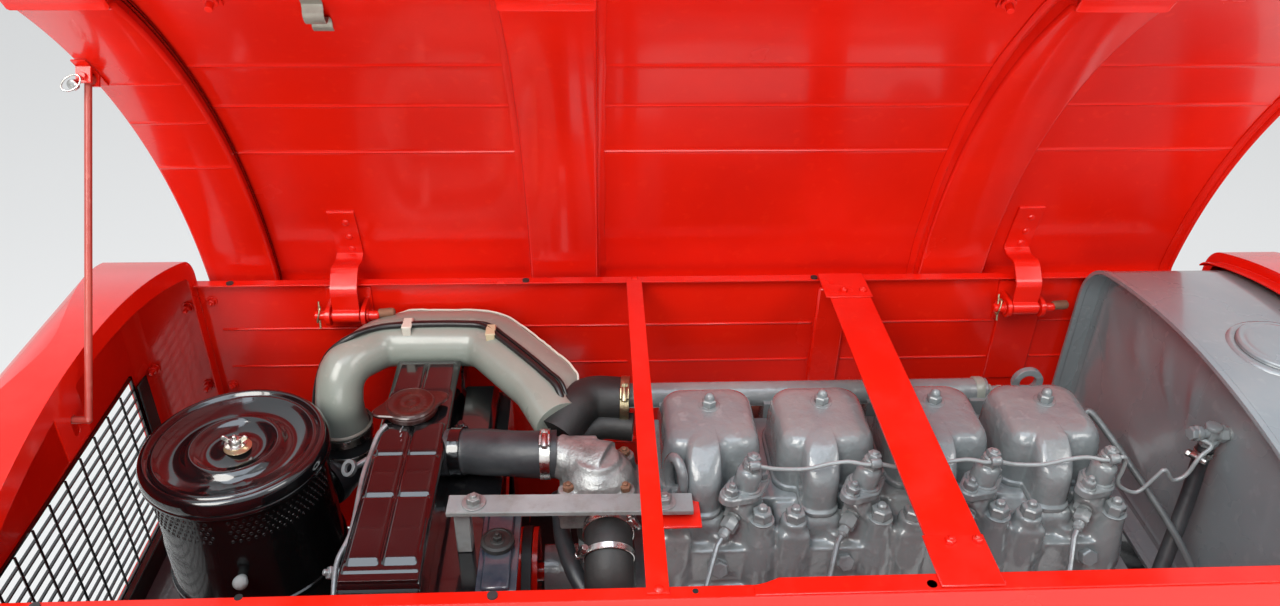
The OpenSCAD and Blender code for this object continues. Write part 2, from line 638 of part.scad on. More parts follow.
// Front bolster: the casting that carries the radiator and the nose, with the axle's pivot bore.
pivot_r = 26;
pivot_z = -60;
pivot_x = [-1560, -1140];       // ends of the pivot's barrel
frame_hw = 230;
module front_bolster() color(engine_grey) difference() {
    front = nose_x + 14;
    union() {
        box([front, pivot_x[1] + 20], [-frame_hw, frame_hw], [-20, 10]);
        box(pivot_x, [-70, 70], [pivot_z - 50, -20]);
        box([front, pivot_x[0]], [-frame_hw, frame_hw], [10, nose_z]);
        box([rad_front - 6, rad_rear + 6], [-frame_hw, frame_hw], [10, rad_base_z]);
        // arms back to the block's sides
        for (s = [0, 1]) mirror([0, s, 0]) {
            box([front, timing_x], [frame_hw - 40, frame_hw], [-20, 28]);
            box([timing_x - 30, timing_x], [118, frame_hw], [-20, 80]);
            box([timing_x - 30, block_front + 90], [118, 150], [-30, 80]);
            box([block_front + 2, block_front + 90], [block_hw, 118], [-30, 80]);
        }
    }
    translate([0, 0, pivot_z]) rod_x(pivot_x[0] - 1, pivot_x[1] + 1, pivot_r);
}

// Nose cowl: a shell cut from the bonnet's section, a side profile and a plan. The rounded
// corners stand out by nose_lap, so that the faces cross instead of touching.
nose_lap = 1;
module nose_form(inset, over) intersection() {
    along_x(nose_x - 1, cowl_edge_x + over) section(inset, nose_z - over);
    along_y(-400, 400) {
        top = rail_z + crown_rise - nose_top_r + nose_lap;
        translate([nose_x + nose_top_r, top]) circle(nose_top_r - inset);
        translate([nose_x + inset, nose_z - 20]) square([400, top - nose_z + 20]);
        translate([nose_x + nose_top_r, nose_z - 20]) square([400, rail_z + crown_rise + 40 - nose_z]);
    }
    linear_extrude(900) {
        x = nose_x + nose_side_r - nose_lap;
        y = bonnet_hw - nose_side_r + nose_lap;
        for (s = [-1, 1]) translate([x, s * y]) circle(nose_side_r - inset);
        translate([nose_x - nose_lap + inset, -y]) square([400, 2 * y]);
        translate([x, -bonnet_hw - 20]) square([400, 2 * bonnet_hw + 40]);
    }
}
module grille_outline(inset)
    translate([-grille_w / 2 + inset, grille_top - grille_h + inset])
        square([grille_w - 2 * inset, grille_h - 2 * inset]);
hook_z = rail_z + 40;
hook_y = -66;
module nose_cowl() color(red) difference() {
    union() {
        difference() {
            nose_form(0, 0);
            nose_form(sheet_t, 9);
        }
        along_x(cowl_edge_x - sheet_t, cowl_edge_x) skin(sheet_t / 2, web_d, nose_z);
        // hook plate under the web
        box([cowl_edge_x - sheet_t, cowl_edge_x], [hook_y - 30, hook_y + 24],
            [hook_z - 34, rail_z + crown_rise - web_d + 2]);
        // turned-in foot
        for (s = [-1, 1]) translate([0, s * (bonnet_hw - 56), 0])
            box([nose_x + nose_side_r, cowl_edge_x], [-55, 55], [nose_z, nose_z + sheet_t]);
    }
    along_x(nose_x - 10, nose_x + 20) grille_outline(0);
    along_x(cowl_edge_x - 10, cowl_edge_x + 10) translate([hook_y, hook_z]) {
        translate([-6, -14]) square([12, 14]);
        circle(6);
        translate([0, -14]) circle(6);
    }
}

// Grille: thin blades and upright rods in a frame behind the opening.
module grille() color(black) {
    x0 = nose_x + sheet_t;
    along_x(x0, x0 + 3) difference() {
        grille_outline(-4);
        grille_outline(2);
    }
    for (i = [1 : grille_bars]) translate([x0, 0, grille_top - i * grille_h / (grille_bars + 1)])
        box([0, 9], [-grille_w / 2 + 1, grille_w / 2 - 1], [-1.2, 1.2]);
    for (i = [1 : grille_rods]) translate([x0 + 2, -grille_w / 2 + i * grille_w / (grille_rods + 1), 0])
        box([0, 5], [-2, 2], [grille_top - grille_h + 1, grille_top - 1]);
}

// A side panel: sheet, turned flanges and two long beads. side is 1 on the hinge side.
bead_drop = [65, 130];
module panel(side) {
    x0 = cowl_edge_x + seat;
    x1 = rear_cowl_x - seat;
    y0 = side > 0 ? panel_in : -panel_out;
    box([x0, x1], [y0, y0 + sheet_t], [panel_z, rail_z]);
    for (z = [panel_z, rail_z - sheet_t])
        box([x0, x1], side > 0 ? [panel_out - panel_flange, panel_out] : [-panel_out, -panel_out + panel_flange],
            [z, z + sheet_t]);
    for (d = bead_drop) translate([0, side * panel_out, rail_z - d]) intersection() {
        rod_x(x0 + 20, x1 - 20, 3);
        box([x0, x1], side > 0 ? [-0.5, 9] : [-9, 0.5], [-9, 9]);
    }
}
module far_panel() color(red) panel(1);
module near_panel() color(red) panel(-1);

hoop_x = front_cyl_x - 82;
module divider_hoop() color(red) {
    box([hoop_x - 11, hoop_x + 11], [-panel_in + 3, panel_in - 3], [rail_z, rail_z + 3]);
    box([hoop_x + 8, hoop_x + 11], [-panel_out + panel_flange + seat, panel_out - panel_flange - seat],
        [rail_z - 20, rail_z]);
}
brace_x = front_cyl_x + 222;
module cross_brace() color(red)
    box([brace_x - 29, brace_x + 29], [-panel_in + 3, panel_in - 3], [rail_z, rail_z + 3]);

// Rear cowl: an arch over the tank with a bulkhead behind it.
rear_cowl_end = 34;
module rear_cowl() color(red) {
    along_x(rear_cowl_x, rear_cowl_end) skin(0, sheet_t, panel_z);
    along_x(rear_cowl_x, rear_cowl_x + sheet_t) skin(1, web_d - 8, panel_z);
    // ledge under the closed lid's rear end
    along_x(rear_cowl_x - 20, rear_cowl_x + 1) skin(web_d - 11, web_d - 9, rail_z + 18);
    along_x(rear_cowl_end - 3, rear_cowl_end) section(1, panel_z);
}

// Fuel tank: an arched body whose top and sides run on past its front wall as a rolled rim.
tank_r = 70;
tank_shoulder = 95;     // depth of the shoulders' centres below the tank's top
rim_l = 30;
module tank_section(inset) arch(tank_hw, tank_r, tank_top - tank_shoulder, tank_top, inset, tank_z + inset);
filler = [tank_x + 105, 0];
module fuel_tank() color(engine_grey) {
    along_x(tank_x + rim_l, tank_x + tank_l) tank_section(0);
    along_x(tank_x, tank_x + rim_l + 1) difference() {
        tank_section(0);
        tank_section(3);
    }
    along_x(tank_x, tank_x + 8) difference() {
        tank_section(-1.5);
        tank_section(4);
    }
    translate([filler[0], filler[1], tank_top - 30]) cylinder(h = 31, r = cap_r + 8);
}
module tank_cap() color(engine_grey) translate([filler[0], filler[1], tank_top + 1]) {
    cylinder(h = 2, r = cap_r - 5);
    translate([0, 0, 2]) cylinder(h = 5, r = cap_r);
    translate([0, 0, 7]) cylinder(h = 2, r1 = cap_r - 3, r2 = cap_r - 9);
}
module tank_cradle() color(black) {
    for (x = [tank_x + 50, tank_x + 150]) along_x(x - 20, x + 20) difference() {
        translate([-180, 60]) square([360, tank_z - 60]);
        circle(bell_r + 2 * seat, $fn = 180);
        translate([-200, -10]) square([400, 140]);
    }
    // plate from the rear flange to the rear cowl's bulkhead
    box([-14, -4], [-110, 110], [flange_r + seat, tank_z - 12]);
    box([-14, rear_cowl_end - 3], [-110, 110], [tank_z - 12, tank_z - 4]);
}
tap_x = tank_x + 8;
tap_y = -58;
tap_z = 532;
module fuel_tap() color(steel) {
    translate([0, tap_y, tap_z]) rod_x(tap_x, tank_x + rim_l, 7);
    translate([tap_x, tap_y, tap_z - 24]) cylinder(h = 34, r = 9);
    translate([0, tap_y, tap_z]) rod_x(tap_x - 19, tap_x, 6);
}
module fuel_hose() color(rubber) {
    top = [tap_x, tap_y, tap_z - 24 - seat];
    tube(rounded([top, top - [2, 0, 40], [tank_x - 4, tap_y + 30, 400], [tank_x - 30, -60, 300],
        [tank_x - 60, -150, 250]], 24, 5), 7, 12);
}

// Hinge brackets on the far panel: a plate, two ears and the pin between them.
module hinge_brackets() color(red) for (x = strap_x) {
    box([x - 32, x + 32], [panel_in - 4, panel_in], [hinge_z - 36, rail_z - sheet_t - 8]);
    for (s = [-1, 1]) along_x(x + s * 25 - 3, x + s * 25 + 3) translate([hinge_y, hinge_z]) {
        circle(14);
        translate([0, -14]) square([panel_in - hinge_y - 2, 28]);
    }
    translate([0, hinge_y, hinge_z]) rod_x(x - 44, x + 44, hinge_pin_r);
}

// Rubber buffers on the panels' top flanges.
module rail_buffers() color(rubber) for (x = [-1480, -1060, -640, -120], s = [-1, 1])
    translate([x, s * (panel_out - 9), rail_z]) cylinder(h = 2, r = 5);

module lid_skin() color(red) opened() along_x(lid_front_x, lid_rear_x) skin(0, sheet_t, rail_z + lid_clear);

// Ribs: pressed channels that follow the lid's arch. The front one begins at the lid's edge.
module lid_ribs() color(red) opened() {
    for (i = [0 : 2]) {
        x0 = rib_x[i];
        x1 = x0 + rib_w;
        along_x(x0, x1) skin(rib_d, rib_d + sheet_t, rib_low);
        for (e = [x0, x1 - sheet_t]) along_x(e, e + sheet_t) skin(sheet_t + seat, rib_d + 1, rib_low);
        for (e = i == 0 ? [x1 - 1] : [x0 - 9, x1 - 1])
            along_x(e, e + 10) skin(sheet_t + seat, 2 * sheet_t + seat, rib_low);
    }
    along_x(lid_rear_x - 2, lid_rear_x) skin(sheet_t + seat, 14, rib_low);
}

// Gooseneck straps from the lid's skin round the panel's edge to the hinge pins.
strap_off = sheet_t + seat;     // from the lid's outer face to the strap's
strap_t = 4;
strap_top = hinge_y - 22;       // where the strap meets the lid's skin
module hinge_straps() color(red) opened() for (x = strap_x) difference() {
    along_x(x - strap_w / 2, x + strap_w / 2) {
        ribbon(rounded([[hinge_y - 3, hinge_z + 2], [hinge_y - 34, hinge_z + 20], [hinge_y - 42, hinge_z + 54],
            [strap_top - 2, hinge_z + 76], [strap_top, crown_at(strap_top, strap_off + 3)]], 16, 4), strap_t);
        translate([hinge_y, hinge_z]) circle(hinge_pin_r + 4);
        intersection() {
            skin(strap_off, strap_off + strap_t, rail_z + lid_clear + 2);
            translate([strap_top - 76, rail_z]) square([77, 200]);
        }
    }
    translate([0, hinge_y, hinge_z]) rod_x(x - 40, x + 40, hinge_pin_r + run_gap);
}

// Bracket of the prop on the front rib: two ears, the pin across them and a plate on the rib.
prop_pivot = [prop_x, prop_y, rail_z + prop_z];
prop_tilt = lid_open + atan2(prop_dir[1], -prop_dir[2]);        // from the closed lid's upright
prop_pin_r = 4;
rib_in = rib_d + sheet_t + seat;
module prop_frame() translate(prop_pivot) rotate([prop_tilt, 0, 0]) children();
module prop_bracket() color(red) opened() {
    intersection() {
        prop_frame() {
            for (s = [-1, 1]) translate([-8, s * 9 - 2, -7]) cube([16, 4, 40]);
            rod_y(-15, 15, prop_pin_r);
        }
        along_x(prop_x - 20, prop_x + 20) section(rib_in, rail_z);
    }
    along_x(prop_x - 8, prop_x + 8) intersection() {
        skin(rib_in, rib_in + 2, rail_z);
        translate([prop_y - 26, rail_z]) square([52, 200]);
    }
}
module prop_rod() color([0.66, 0.1, 0.05]) opened() prop_frame() {
    difference() {
        union() {
            rod_y(-6.5, 6.5, 6);
            translate([0, 0, -prop_len]) cylinder(h = prop_len - prop_pin_r, r = prop_r);
        }
        rod_y(-7, 7, prop_pin_r + run_gap);
    }
    translate([0, 0, -prop_len]) sphere(prop_r + 0.3);
    translate([0, 0, -prop_len]) rod_x(-prop_hook, 0, prop_r);
}

// Catches at the lid's near edge: a block on the skin with a flanged pin through it.
latch_y = -280;
module lid_latches() color(red) opened() for (d = [195, 984]) translate([lid_front_x + d, 0, 0]) {
    intersection() {
        box([-9, 9], [-bonnet_hw, latch_y + 9], [rail_z + 22, rail_z + 27]);
        along_x(-20, 20) section(strap_off, rail_z);
    }
    translate([0, latch_y, rail_z + 8]) cylinder(h = 15, r = 4);
    translate([0, latch_y, rail_z + 17]) cylinder(h = 3, r = 7.5);
}

clutch_housing();
flywheel();
engine_block();
sump();
timing_cover();
cylinder_heads();
rocker_covers();
injectors();
injector_pipes();
leak_off_line();
head_nuts();
lifting_ring();
lifting_eye();
inlet_manifold();
exhaust_manifold();
injection_pump();
water_pump();
thermostat_housing();
top_hose();
bypass_hose();
lower_hose();
crank_pulley();
generator();
fan_belt();
radiator();
radiator_cap();
fan_shroud();
stay_bar();
air_cleaner_body();
air_cleaner_cover();
air_elbow();
air_pipe();
manifold_elbow();
front_bolster();
nose_cowl();
grille();
far_panel();
near_panel();
divider_hoop();
cross_brace();
rear_cowl();
fuel_tank();
tank_cap();
tank_cradle();
fuel_tap();
fuel_hose();
hinge_brackets();
rail_buffers();
lid_skin();
lid_ribs();
hinge_straps();
prop_bracket();
lid_latches();
prop_rod();
fan();
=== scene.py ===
import bmesh
import bpy
import json
import numpy as np
from itertools import product
from math import acos, asin, atan2, copysign, cos, dist, exp, hypot, pi, radians, sin, sqrt, tan
from mathutils import Matrix, Vector


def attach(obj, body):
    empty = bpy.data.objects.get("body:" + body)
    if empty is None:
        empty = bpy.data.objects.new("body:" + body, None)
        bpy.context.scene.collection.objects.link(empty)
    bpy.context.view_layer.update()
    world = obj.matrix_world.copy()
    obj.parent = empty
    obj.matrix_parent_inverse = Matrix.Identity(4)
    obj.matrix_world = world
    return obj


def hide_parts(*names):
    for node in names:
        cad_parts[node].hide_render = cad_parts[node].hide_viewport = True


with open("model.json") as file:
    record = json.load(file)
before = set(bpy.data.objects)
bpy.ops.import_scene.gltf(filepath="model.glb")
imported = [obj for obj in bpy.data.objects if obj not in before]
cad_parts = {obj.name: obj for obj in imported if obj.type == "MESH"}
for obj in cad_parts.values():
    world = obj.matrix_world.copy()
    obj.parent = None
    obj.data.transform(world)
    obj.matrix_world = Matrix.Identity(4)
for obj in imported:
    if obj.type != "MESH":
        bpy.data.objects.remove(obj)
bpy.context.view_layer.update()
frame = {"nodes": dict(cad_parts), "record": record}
nodes = frame["nodes"]
slots = {part["node"]: part["material_slot"] for part in frame["record"]["subparts"]}

# Lengths are in millimetres in the part's frame, and addPiece turns them into metres.


class Wires:
    # adds nodes to a tree and joins them
    def __init__(self, tree):
        self.tree = tree
        tree.nodes.clear()

    def feed(self, socket, value):
        # a link, a number, or a colour without its alpha
        if isinstance(value, bpy.types.NodeSocket):
            self.tree.links.new(value, socket)
        else:
            socket.default_value = (*value, 1) if socket.type == "RGBA" else value

    def node(self, kind, inputs=(), **settings):
        made = self.tree.nodes.new(kind)
        for key, value in settings.items():
            setattr(made, key, value)
        for key, value in dict(inputs).items():
            self.feed(made.inputs[key], value)
        return made

    def math(self, operation, a, b=0.0):
        return self.node("ShaderNodeMath", {0: a, 1: b}, operation=operation).outputs[0]

    def seenDirectly(self):
        # 1 for rays from the camera, off gloss and through glass, which see the pale background
        path = self.node("ShaderNodeLightPath").outputs
        return self.math("MAXIMUM", path["Is Camera Ray"],
                         self.math("MAXIMUM", path["Is Glossy Ray"], path["Is Transmission Ray"]))


# Camera, world, lamps and floor
cameraSetup = {
    "place": (-0.960, -0.93419, 1.27052),       # metres
    "yaw": 3.0657,          # degrees towards +X
    "pitch": 31.9598,       # degrees below the horizon
    "roll": 0.9748,
    "lens": 27.601, "sensor": 36, "clip": (0.05, 60),
}


def addCamera(setup):
    yaw, pitch, roll = (radians(setup[k]) for k in ("yaw", "pitch", "roll"))
    forward = np.array([sin(yaw) * cos(pitch), cos(yaw) * cos(pitch), -sin(pitch)])
    right = np.array([cos(yaw), -sin(yaw), 0])
    up = np.cross(right, forward)
    side = cos(roll) * right + sin(roll) * up
    top = cos(roll) * up - sin(roll) * right
    data = bpy.data.cameras.new("camera")
    data.lens = setup["lens"]
    data.sensor_width = setup["sensor"]
    data.clip_start, data.clip_end = setup["clip"]
    camera = bpy.data.objects.new("camera", data)
    turn = Matrix(np.stack([side, top, -forward], 1).tolist()).to_4x4()
    camera.matrix_world = Matrix.Translation(setup["place"]) @ turn
    bpy.context.scene.collection.objects.link(camera)
    bpy.context.scene.camera = camera
    bpy.context.scene.view_settings.view_transform = "Standard"


lightSetup = {
    "floorZ": -0.46,        # metres
    "floorSize": 40,
    "floorColor": (0.88, 0.88, 0.87),
    "floorLift": 0.55,      # how much of its own colour the floor shows to the camera
    "skyColor": (0.86, 0.90, 0.95),
    "worldColor": (0.84, 0.91, 1.0),
    "worldStrength": 0.44,
    "lamps": [      # place, target, size in metres, power, colour
        ((-2.6, -2.4, 3.6), (-0.9, 0, 0.5), 2.2, 152, (1.0, 0.97, 0.92)),
        ((1.6, -1.6, 3.0), (-0.6, 0, 0.5), 1.4, 36, (1.0, 0.98, 0.95)),
        ((-1.1, -0.35, 3.3), (-1.0, 0, 0.4), 2.4, 54, (0.78, 0.88, 1.0)),
        ((-0.8, -3.0, 0.55), (-0.9, 0.2, 0.75), 1.8, 64, (1.0, 0.97, 0.94)),
    ],
}


def addWorld(setup):
    world = bpy.data.worlds.new("studio")
    bpy.context.scene.world = world
    world.use_nodes = True
    wires = Wires(world.node_tree)
    lit, pale = (wires.node("ShaderNodeBackground", {"Color": setup[color], "Strength": strength}).outputs[0]
                 for color, strength in (("worldColor", setup["worldStrength"]), ("skyColor", 1.0)))
    shown = wires.node("ShaderNodeMixShader", {0: wires.seenDirectly(), 1: lit, 2: pale})
    wires.node("ShaderNodeOutputWorld", {"Surface": shown.outputs[0]})


def addLamps(setup):
    for i, (place, target, size, power, color) in enumerate(setup["lamps"]):
        data = bpy.data.lights.new(f"softbox{i}", "AREA")
        data.shape, data.size, data.energy, data.color = "SQUARE", size, power, color
        lamp = bpy.data.objects.new(f"softbox{i}", data)
        lamp.location = place
        lamp.rotation_mode = "QUATERNION"
        lamp.rotation_quaternion = (Vector(place) - Vector(target)).to_track_quat("Z", "Y")
        bpy.context.scene.collection.objects.link(lamp)


def addFloor(setup):
    bpy.ops.mesh.primitive_plane_add(size=setup["floorSize"], location=(0, 0, setup["floorZ"]))
    floor = bpy.context.object
    floor.name = "floor"
    floor.data.materials.append(floorMaterial(setup["floorColor"], setup["floorLift"]))


# Finishes
class Shader(Wires):
    # a material with its principled surface
    def __init__(self, name="finish"):
        self.material = bpy.data.materials.new(name)
        self.material.use_nodes = True
        super().__init__(self.material.node_tree)
        self.main = self.node("ShaderNodeBsdfPrincipled")
        self.out = self.node("ShaderNodeOutputMaterial", {"Surface": self.main.outputs[0]})
        self.where = self.node("ShaderNodeTexCoord").outputs["Object"]

    def noise(self, scale, detail=3.0, rough=0.5, stretch=None):
        where = self.where
        if stretch:
            where = self.node("ShaderNodeMapping", {"Vector": where, "Scale": stretch}).outputs[0]
        values = {"Vector": where, "Scale": scale, "Detail": detail, "Roughness": rough}
        return self.node("ShaderNodeTexNoise", values).outputs["Fac"]

    def span(self, value, low, high, toLow=0.0, toHigh=1.0):
        values = {"Value": value, "From Min": low, "From Max": high, "To Min": toLow, "To Max": toHigh}
        return self.node("ShaderNodeMapRange", values).outputs[0]

    def patches(self, low, high, *noise, to=(0.0, 1.0)):
        return self.span(self.noise(*noise), low, high, *to)

    def mix(self, share, a, b):
        return self.node("ShaderNodeMix", {0: share, 6: a, 7: b}, data_type="RGBA").outputs[2]

    def rounded(self, radius):
        return self.node("ShaderNodeBevel", {"Radius": radius}, samples=4).outputs[0]

    def edges(self, soft):
        # 0 on flat faces, up to 1 where the softened normal leaves the plain one
        plain = self.node("ShaderNodeNewGeometry").outputs["Normal"]
        meet = self.node("ShaderNodeVectorMath", {0: soft, 1: plain}, operation="DOT_PRODUCT")
        return self.span(meet.outputs["Value"], 0.97, 0.86)

    def finish(self, values, height=None, strength=0.3, distance=0.001, soft=None):
        for key, value in values.items():
            self.feed(self.main.inputs[key], value)
        if height is not None:
            bump = self.node("ShaderNodeBump", {"Height": height, "Strength": strength, "Distance": distance})
            if soft is not None:
                self.feed(bump.inputs["Normal"], soft)
            self.feed(self.main.inputs["Normal"], bump.outputs[0])
        return self.material


def paint(color, dark, light, rough=0.2, coat=0.6, ripple=0.25, grain=26.0, edge=None, dust=0.12,
          dustColor=(0.45, 0.42, 0.36), bevel=0.0012, shine=0.5):
    # gloss enamel: cloudy colour, orange peel, a little dust on upper faces and worn edges
    s = Shader()
    base = s.mix(s.patches(0.35, 0.7, 5.0, 4.0), dark, color)
    base = s.mix(s.math("MULTIPLY", s.patches(0.62, 0.72, 60.0, 2.0), 0.35), base, light)
    up = s.node("ShaderNodeSeparateXYZ", {0: s.node("ShaderNodeNewGeometry").outputs["Normal"]}).outputs[2]
    dusty = s.math("MULTIPLY", s.span(up, 0.3, 1.0), s.patches(0.45, 0.8, 14.0, 5.0, 0.6))
    base = s.mix(s.math("MULTIPLY", dusty, dust), base, dustColor)
    soft = s.rounded(bevel)
    if edge:
        base = s.mix(s.math("MULTIPLY", s.edges(soft), s.patches(0.60, 0.66, 90.0, 4.0, 0.7)), base, edge)
    peel = s.math("ADD", s.noise(grain, 2.0), s.math("MULTIPLY", s.noise(grain * 9, 2.0), 0.10))
    roughness = s.patches(0.2, 0.8, 9.0, 4.0, to=(rough * 0.75, rough * 1.35))
    values = {"Base Color": base, "Roughness": roughness, "Coat Weight": coat, "Coat Roughness": rough * 0.35,
              "Specular IOR Level": shine}
    return s.finish(values, peel, ripple, 0.004, soft)


def metal(color, dark, stain, rough=0.35, grain=240.0, metallic=1.0, stretch=None, bevel=0.0006, pit=0.35):
    # bare or plated metal with stains and fine scratches
    s = Shader()
    base = s.mix(s.patches(0.3, 0.7, 18.0, 4.0), dark, color)
    base = s.mix(s.math("MULTIPLY", s.patches(0.5, 0.7, 42.0, 5.0, 0.65), 0.6), base, stain)
    roughness = s.patches(0.2, 0.8, 70.0, 3.0, to=(rough * 0.7, rough * 1.5))
    values = {"Base Color": base, "Roughness": roughness, "Metallic": metallic}
    return s.finish(values, s.noise(grain, 4.0, 0.6, stretch), pit, 0.001, s.rounded(bevel))


def softSkin(color, light, rough=0.55):
    # moulded rubber or plastic: chalky bloom over the colour
    s = Shader()
    base = s.mix(s.math("MULTIPLY", s.patches(0.42, 0.75, 11.0, 5.0, 0.6), 0.8), color, light)
    roughness = s.patches(0.2, 0.8, 22.0, 3.0, to=(rough * 0.8, rough * 1.2))
    return s.finish({"Base Color": base, "Roughness": roughness}, s.noise(160.0, 3.0), 0.3, 0.0012)


def floorMaterial(color, lift):
    # part of the floor's colour is shown as it is, so the floor stays pale far from the lamps
    s = Shader("paleFloor")
    shown = s.node("ShaderNodeEmission", {"Color": color, "Strength": 1.0}).outputs[0]
    share = s.math("MULTIPLY", s.seenDirectly(), lift)
    mixed = s.node("ShaderNodeMixShader", {0: share, 1: s.main.outputs[0], 2: shown})
    s.feed(s.out.inputs["Surface"], mixed.outputs[0])
    base = s.mix(s.patches(0.3, 0.7, 0.7, 3.0), color, [c * 0.97 for c in color])
    roughness = s.patches(0.2, 0.8, 3.0, to=(0.75, 0.9))
    return s.finish({"Base Color": base, "Roughness": roughness, "Specular IOR Level": 0.1})


# paint: colour, darker clouds, lighter spots; metal: colour, darker clouds, stains; skin: colour, bloom
finishes = {
    "redPaint": paint((0.77, 0.012, 0.003), (0.66, 0.008, 0.002), (0.80, 0.022, 0.006), rough=0.22, coat=0.3,
                      ripple=0.16, grain=9.0, edge=(0.30, 0.05, 0.03), dust=0.03, bevel=0.0016, shine=0.35),
    "greyPaint": paint((0.205, 0.230, 0.236), (0.14, 0.162, 0.17), (0.29, 0.32, 0.325), rough=0.22, coat=0.7,
                       ripple=0.55, grain=60.0, edge=(0.15, 0.14, 0.12), dust=0.22, bevel=0.0022),
    "tankPaint": paint((0.225, 0.255, 0.27), (0.18, 0.21, 0.225), (0.28, 0.31, 0.32), rough=0.26, grain=7.0,
                       dust=0.16, bevel=0.002),
    "pipePaint": paint((0.29, 0.325, 0.285), (0.225, 0.255, 0.225), (0.37, 0.39, 0.35), rough=0.30, coat=0.4,
                       ripple=0.3, grain=24.0, dust=0.16),
    "pipeGrey": paint((0.27, 0.30, 0.305), (0.20, 0.225, 0.23), (0.36, 0.39, 0.395), rough=0.3, coat=0.5,
                      ripple=0.4, grain=70.0, dust=0.15, bevel=0.0008),
    "blackPaint": paint((0.006, 0.006, 0.007), (0.003, 0.003, 0.0035), (0.012, 0.011, 0.011), rough=0.14,
                        coat=0.9, ripple=0.16, grain=14.0, dust=0.05, dustColor=(0.12, 0.11, 0.10)),
    "satinBlack": paint((0.005, 0.005, 0.0055), (0.003, 0.003, 0.0032), (0.009, 0.009, 0.009), coat=0.3,
                        ripple=0.14, grain=14.0, dust=0.04, dustColor=(0.10, 0.09, 0.08), shine=0.3),
    # the radiator cap is black: its dark red tint is a painted reflection of the red lid
    "capPaint": paint((0.045, 0.008, 0.006), (0.02, 0.005, 0.004), (0.10, 0.03, 0.02), rough=0.3, coat=0.4,
                      ripple=0.3, grain=60.0, dust=0.3, dustColor=(0.2, 0.12, 0.09)),
    "propPaint": paint((0.42, 0.055, 0.035), (0.30, 0.03, 0.02), (0.52, 0.16, 0.11), rough=0.34, coat=0.3,
                       ripple=0.3, grain=70.0, dust=0.1),
    # a black channel: its blue tint is a painted reflection of the sky
    "blueBlack": paint((0.035, 0.045, 0.065), (0.02, 0.026, 0.04), (0.07, 0.08, 0.10), coat=0.7, ripple=0.2,
                       grain=20.0, dust=0.15),
    # near-black sheets in the bay's depths: painted shade where the bay is dark, not real trays
    "trayDark": paint((0.012, 0.010, 0.010), (0.006, 0.006, 0.006), (0.03, 0.026, 0.022), rough=0.5, coat=0.1,
                      ripple=0.3, grain=40.0, dust=0.3, dustColor=(0.05, 0.042, 0.035)),
    "bareAlloy": metal((0.40, 0.43, 0.43), (0.27, 0.29, 0.29), (0.20, 0.19, 0.15), rough=0.5, metallic=0.35,
                       stretch=(2, 30, 30), pit=0.7),
    "castAlloy": metal((0.42, 0.43, 0.425), (0.24, 0.245, 0.24), (0.085, 0.08, 0.075), rough=0.36,
                       grain=210.0, metallic=0.55, bevel=0.002, pit=1.0),
    "castDark": metal((0.085, 0.075, 0.068), (0.05, 0.045, 0.04), (0.13, 0.09, 0.06), rough=0.55, grain=180.0,
                      metallic=0.4, pit=0.6),
    "bareSteel": metal((0.34, 0.36, 0.37), (0.22, 0.24, 0.25), (0.12, 0.12, 0.11), rough=0.34, metallic=0.55),
    "zincPlate": metal((0.62, 0.62, 0.60), (0.45, 0.45, 0.44), (0.34, 0.30, 0.22), rough=0.26),
    "yellowZinc": metal((0.55, 0.48, 0.30), (0.42, 0.36, 0.22), (0.25, 0.18, 0.10), rough=0.34),
    "clampDull": metal((0.36, 0.35, 0.30), (0.26, 0.25, 0.21), (0.18, 0.16, 0.12), rough=0.5, metallic=0.5),
    "rustySteel": metal((0.30, 0.15, 0.09), (0.18, 0.09, 0.055), (0.10, 0.05, 0.03), rough=0.6,
                        metallic=0.35),
    "hotIron": metal((0.13, 0.085, 0.06), (0.07, 0.045, 0.035), (0.22, 0.11, 0.06), rough=0.7, metallic=0.3,
                     grain=180.0),
    "drainGrey": metal((0.15, 0.165, 0.17), (0.09, 0.10, 0.105), (0.06, 0.055, 0.05), rough=0.4,
                       metallic=0.3),
    "blackRubber": softSkin((0.014, 0.014, 0.014), (0.045, 0.045, 0.043)),
    "greyRubber": softSkin((0.020, 0.022, 0.025), (0.060, 0.064, 0.068), 0.42),
    "cableSkin": softSkin((0.008, 0.008, 0.008), (0.02, 0.02, 0.02), 0.35),
    # white plastic for the cable clip; on the duct's flange edge the same pale colour is a painted highlight
    "whiteClip": softSkin((0.62, 0.60, 0.52), (0.70, 0.69, 0.62), 0.4),
    "clipYellow": softSkin((0.52, 0.44, 0.28), (0.62, 0.56, 0.42), 0.45),
    # near-black for the rail's holes: painted shade of a hole's dark inside
    "holeDark": softSkin((0.0025, 0.0025, 0.0025), (0.004, 0.004, 0.004), 0.8),
}
for finishName, finishMaterial in finishes.items():
    finishMaterial.name = finishName

nodeFinishes = {"fuel_tank": "tankPaint", "tank_cap": "tankPaint", "thermostat_housing": "castAlloy",
                "injectors": "greyPaint", "injector_pipes": "bareSteel", "top_hose": "greyRubber",
                "fuel_hose": "greyRubber"}


def dressNodes():
    # a solid wears the finish named like its slot, such as redPaint for red_paint, or its own
    for name, slotName in slots.items():
        first, last = slotName.split("_")
        materials = nodes[name].data.materials
        materials.clear()
        materials.append(finishes[nodeFinishes.get(name, first + last.title())])


# Mesh helpers; a form is (points, faces)
def unit(v):
    v = np.asarray(v, float)
    return v / np.linalg.norm(v)


def axisFrame(axis, hint=(0, 0, 1)):
    # columns u, v, w with w along the axis
    w = unit(axis)
    if abs(w @ unit(hint)) > 0.95:
        hint = (1, 0, 0)
    u = unit(np.cross(hint, w))
    return np.stack([u, np.cross(w, u), w], 1)


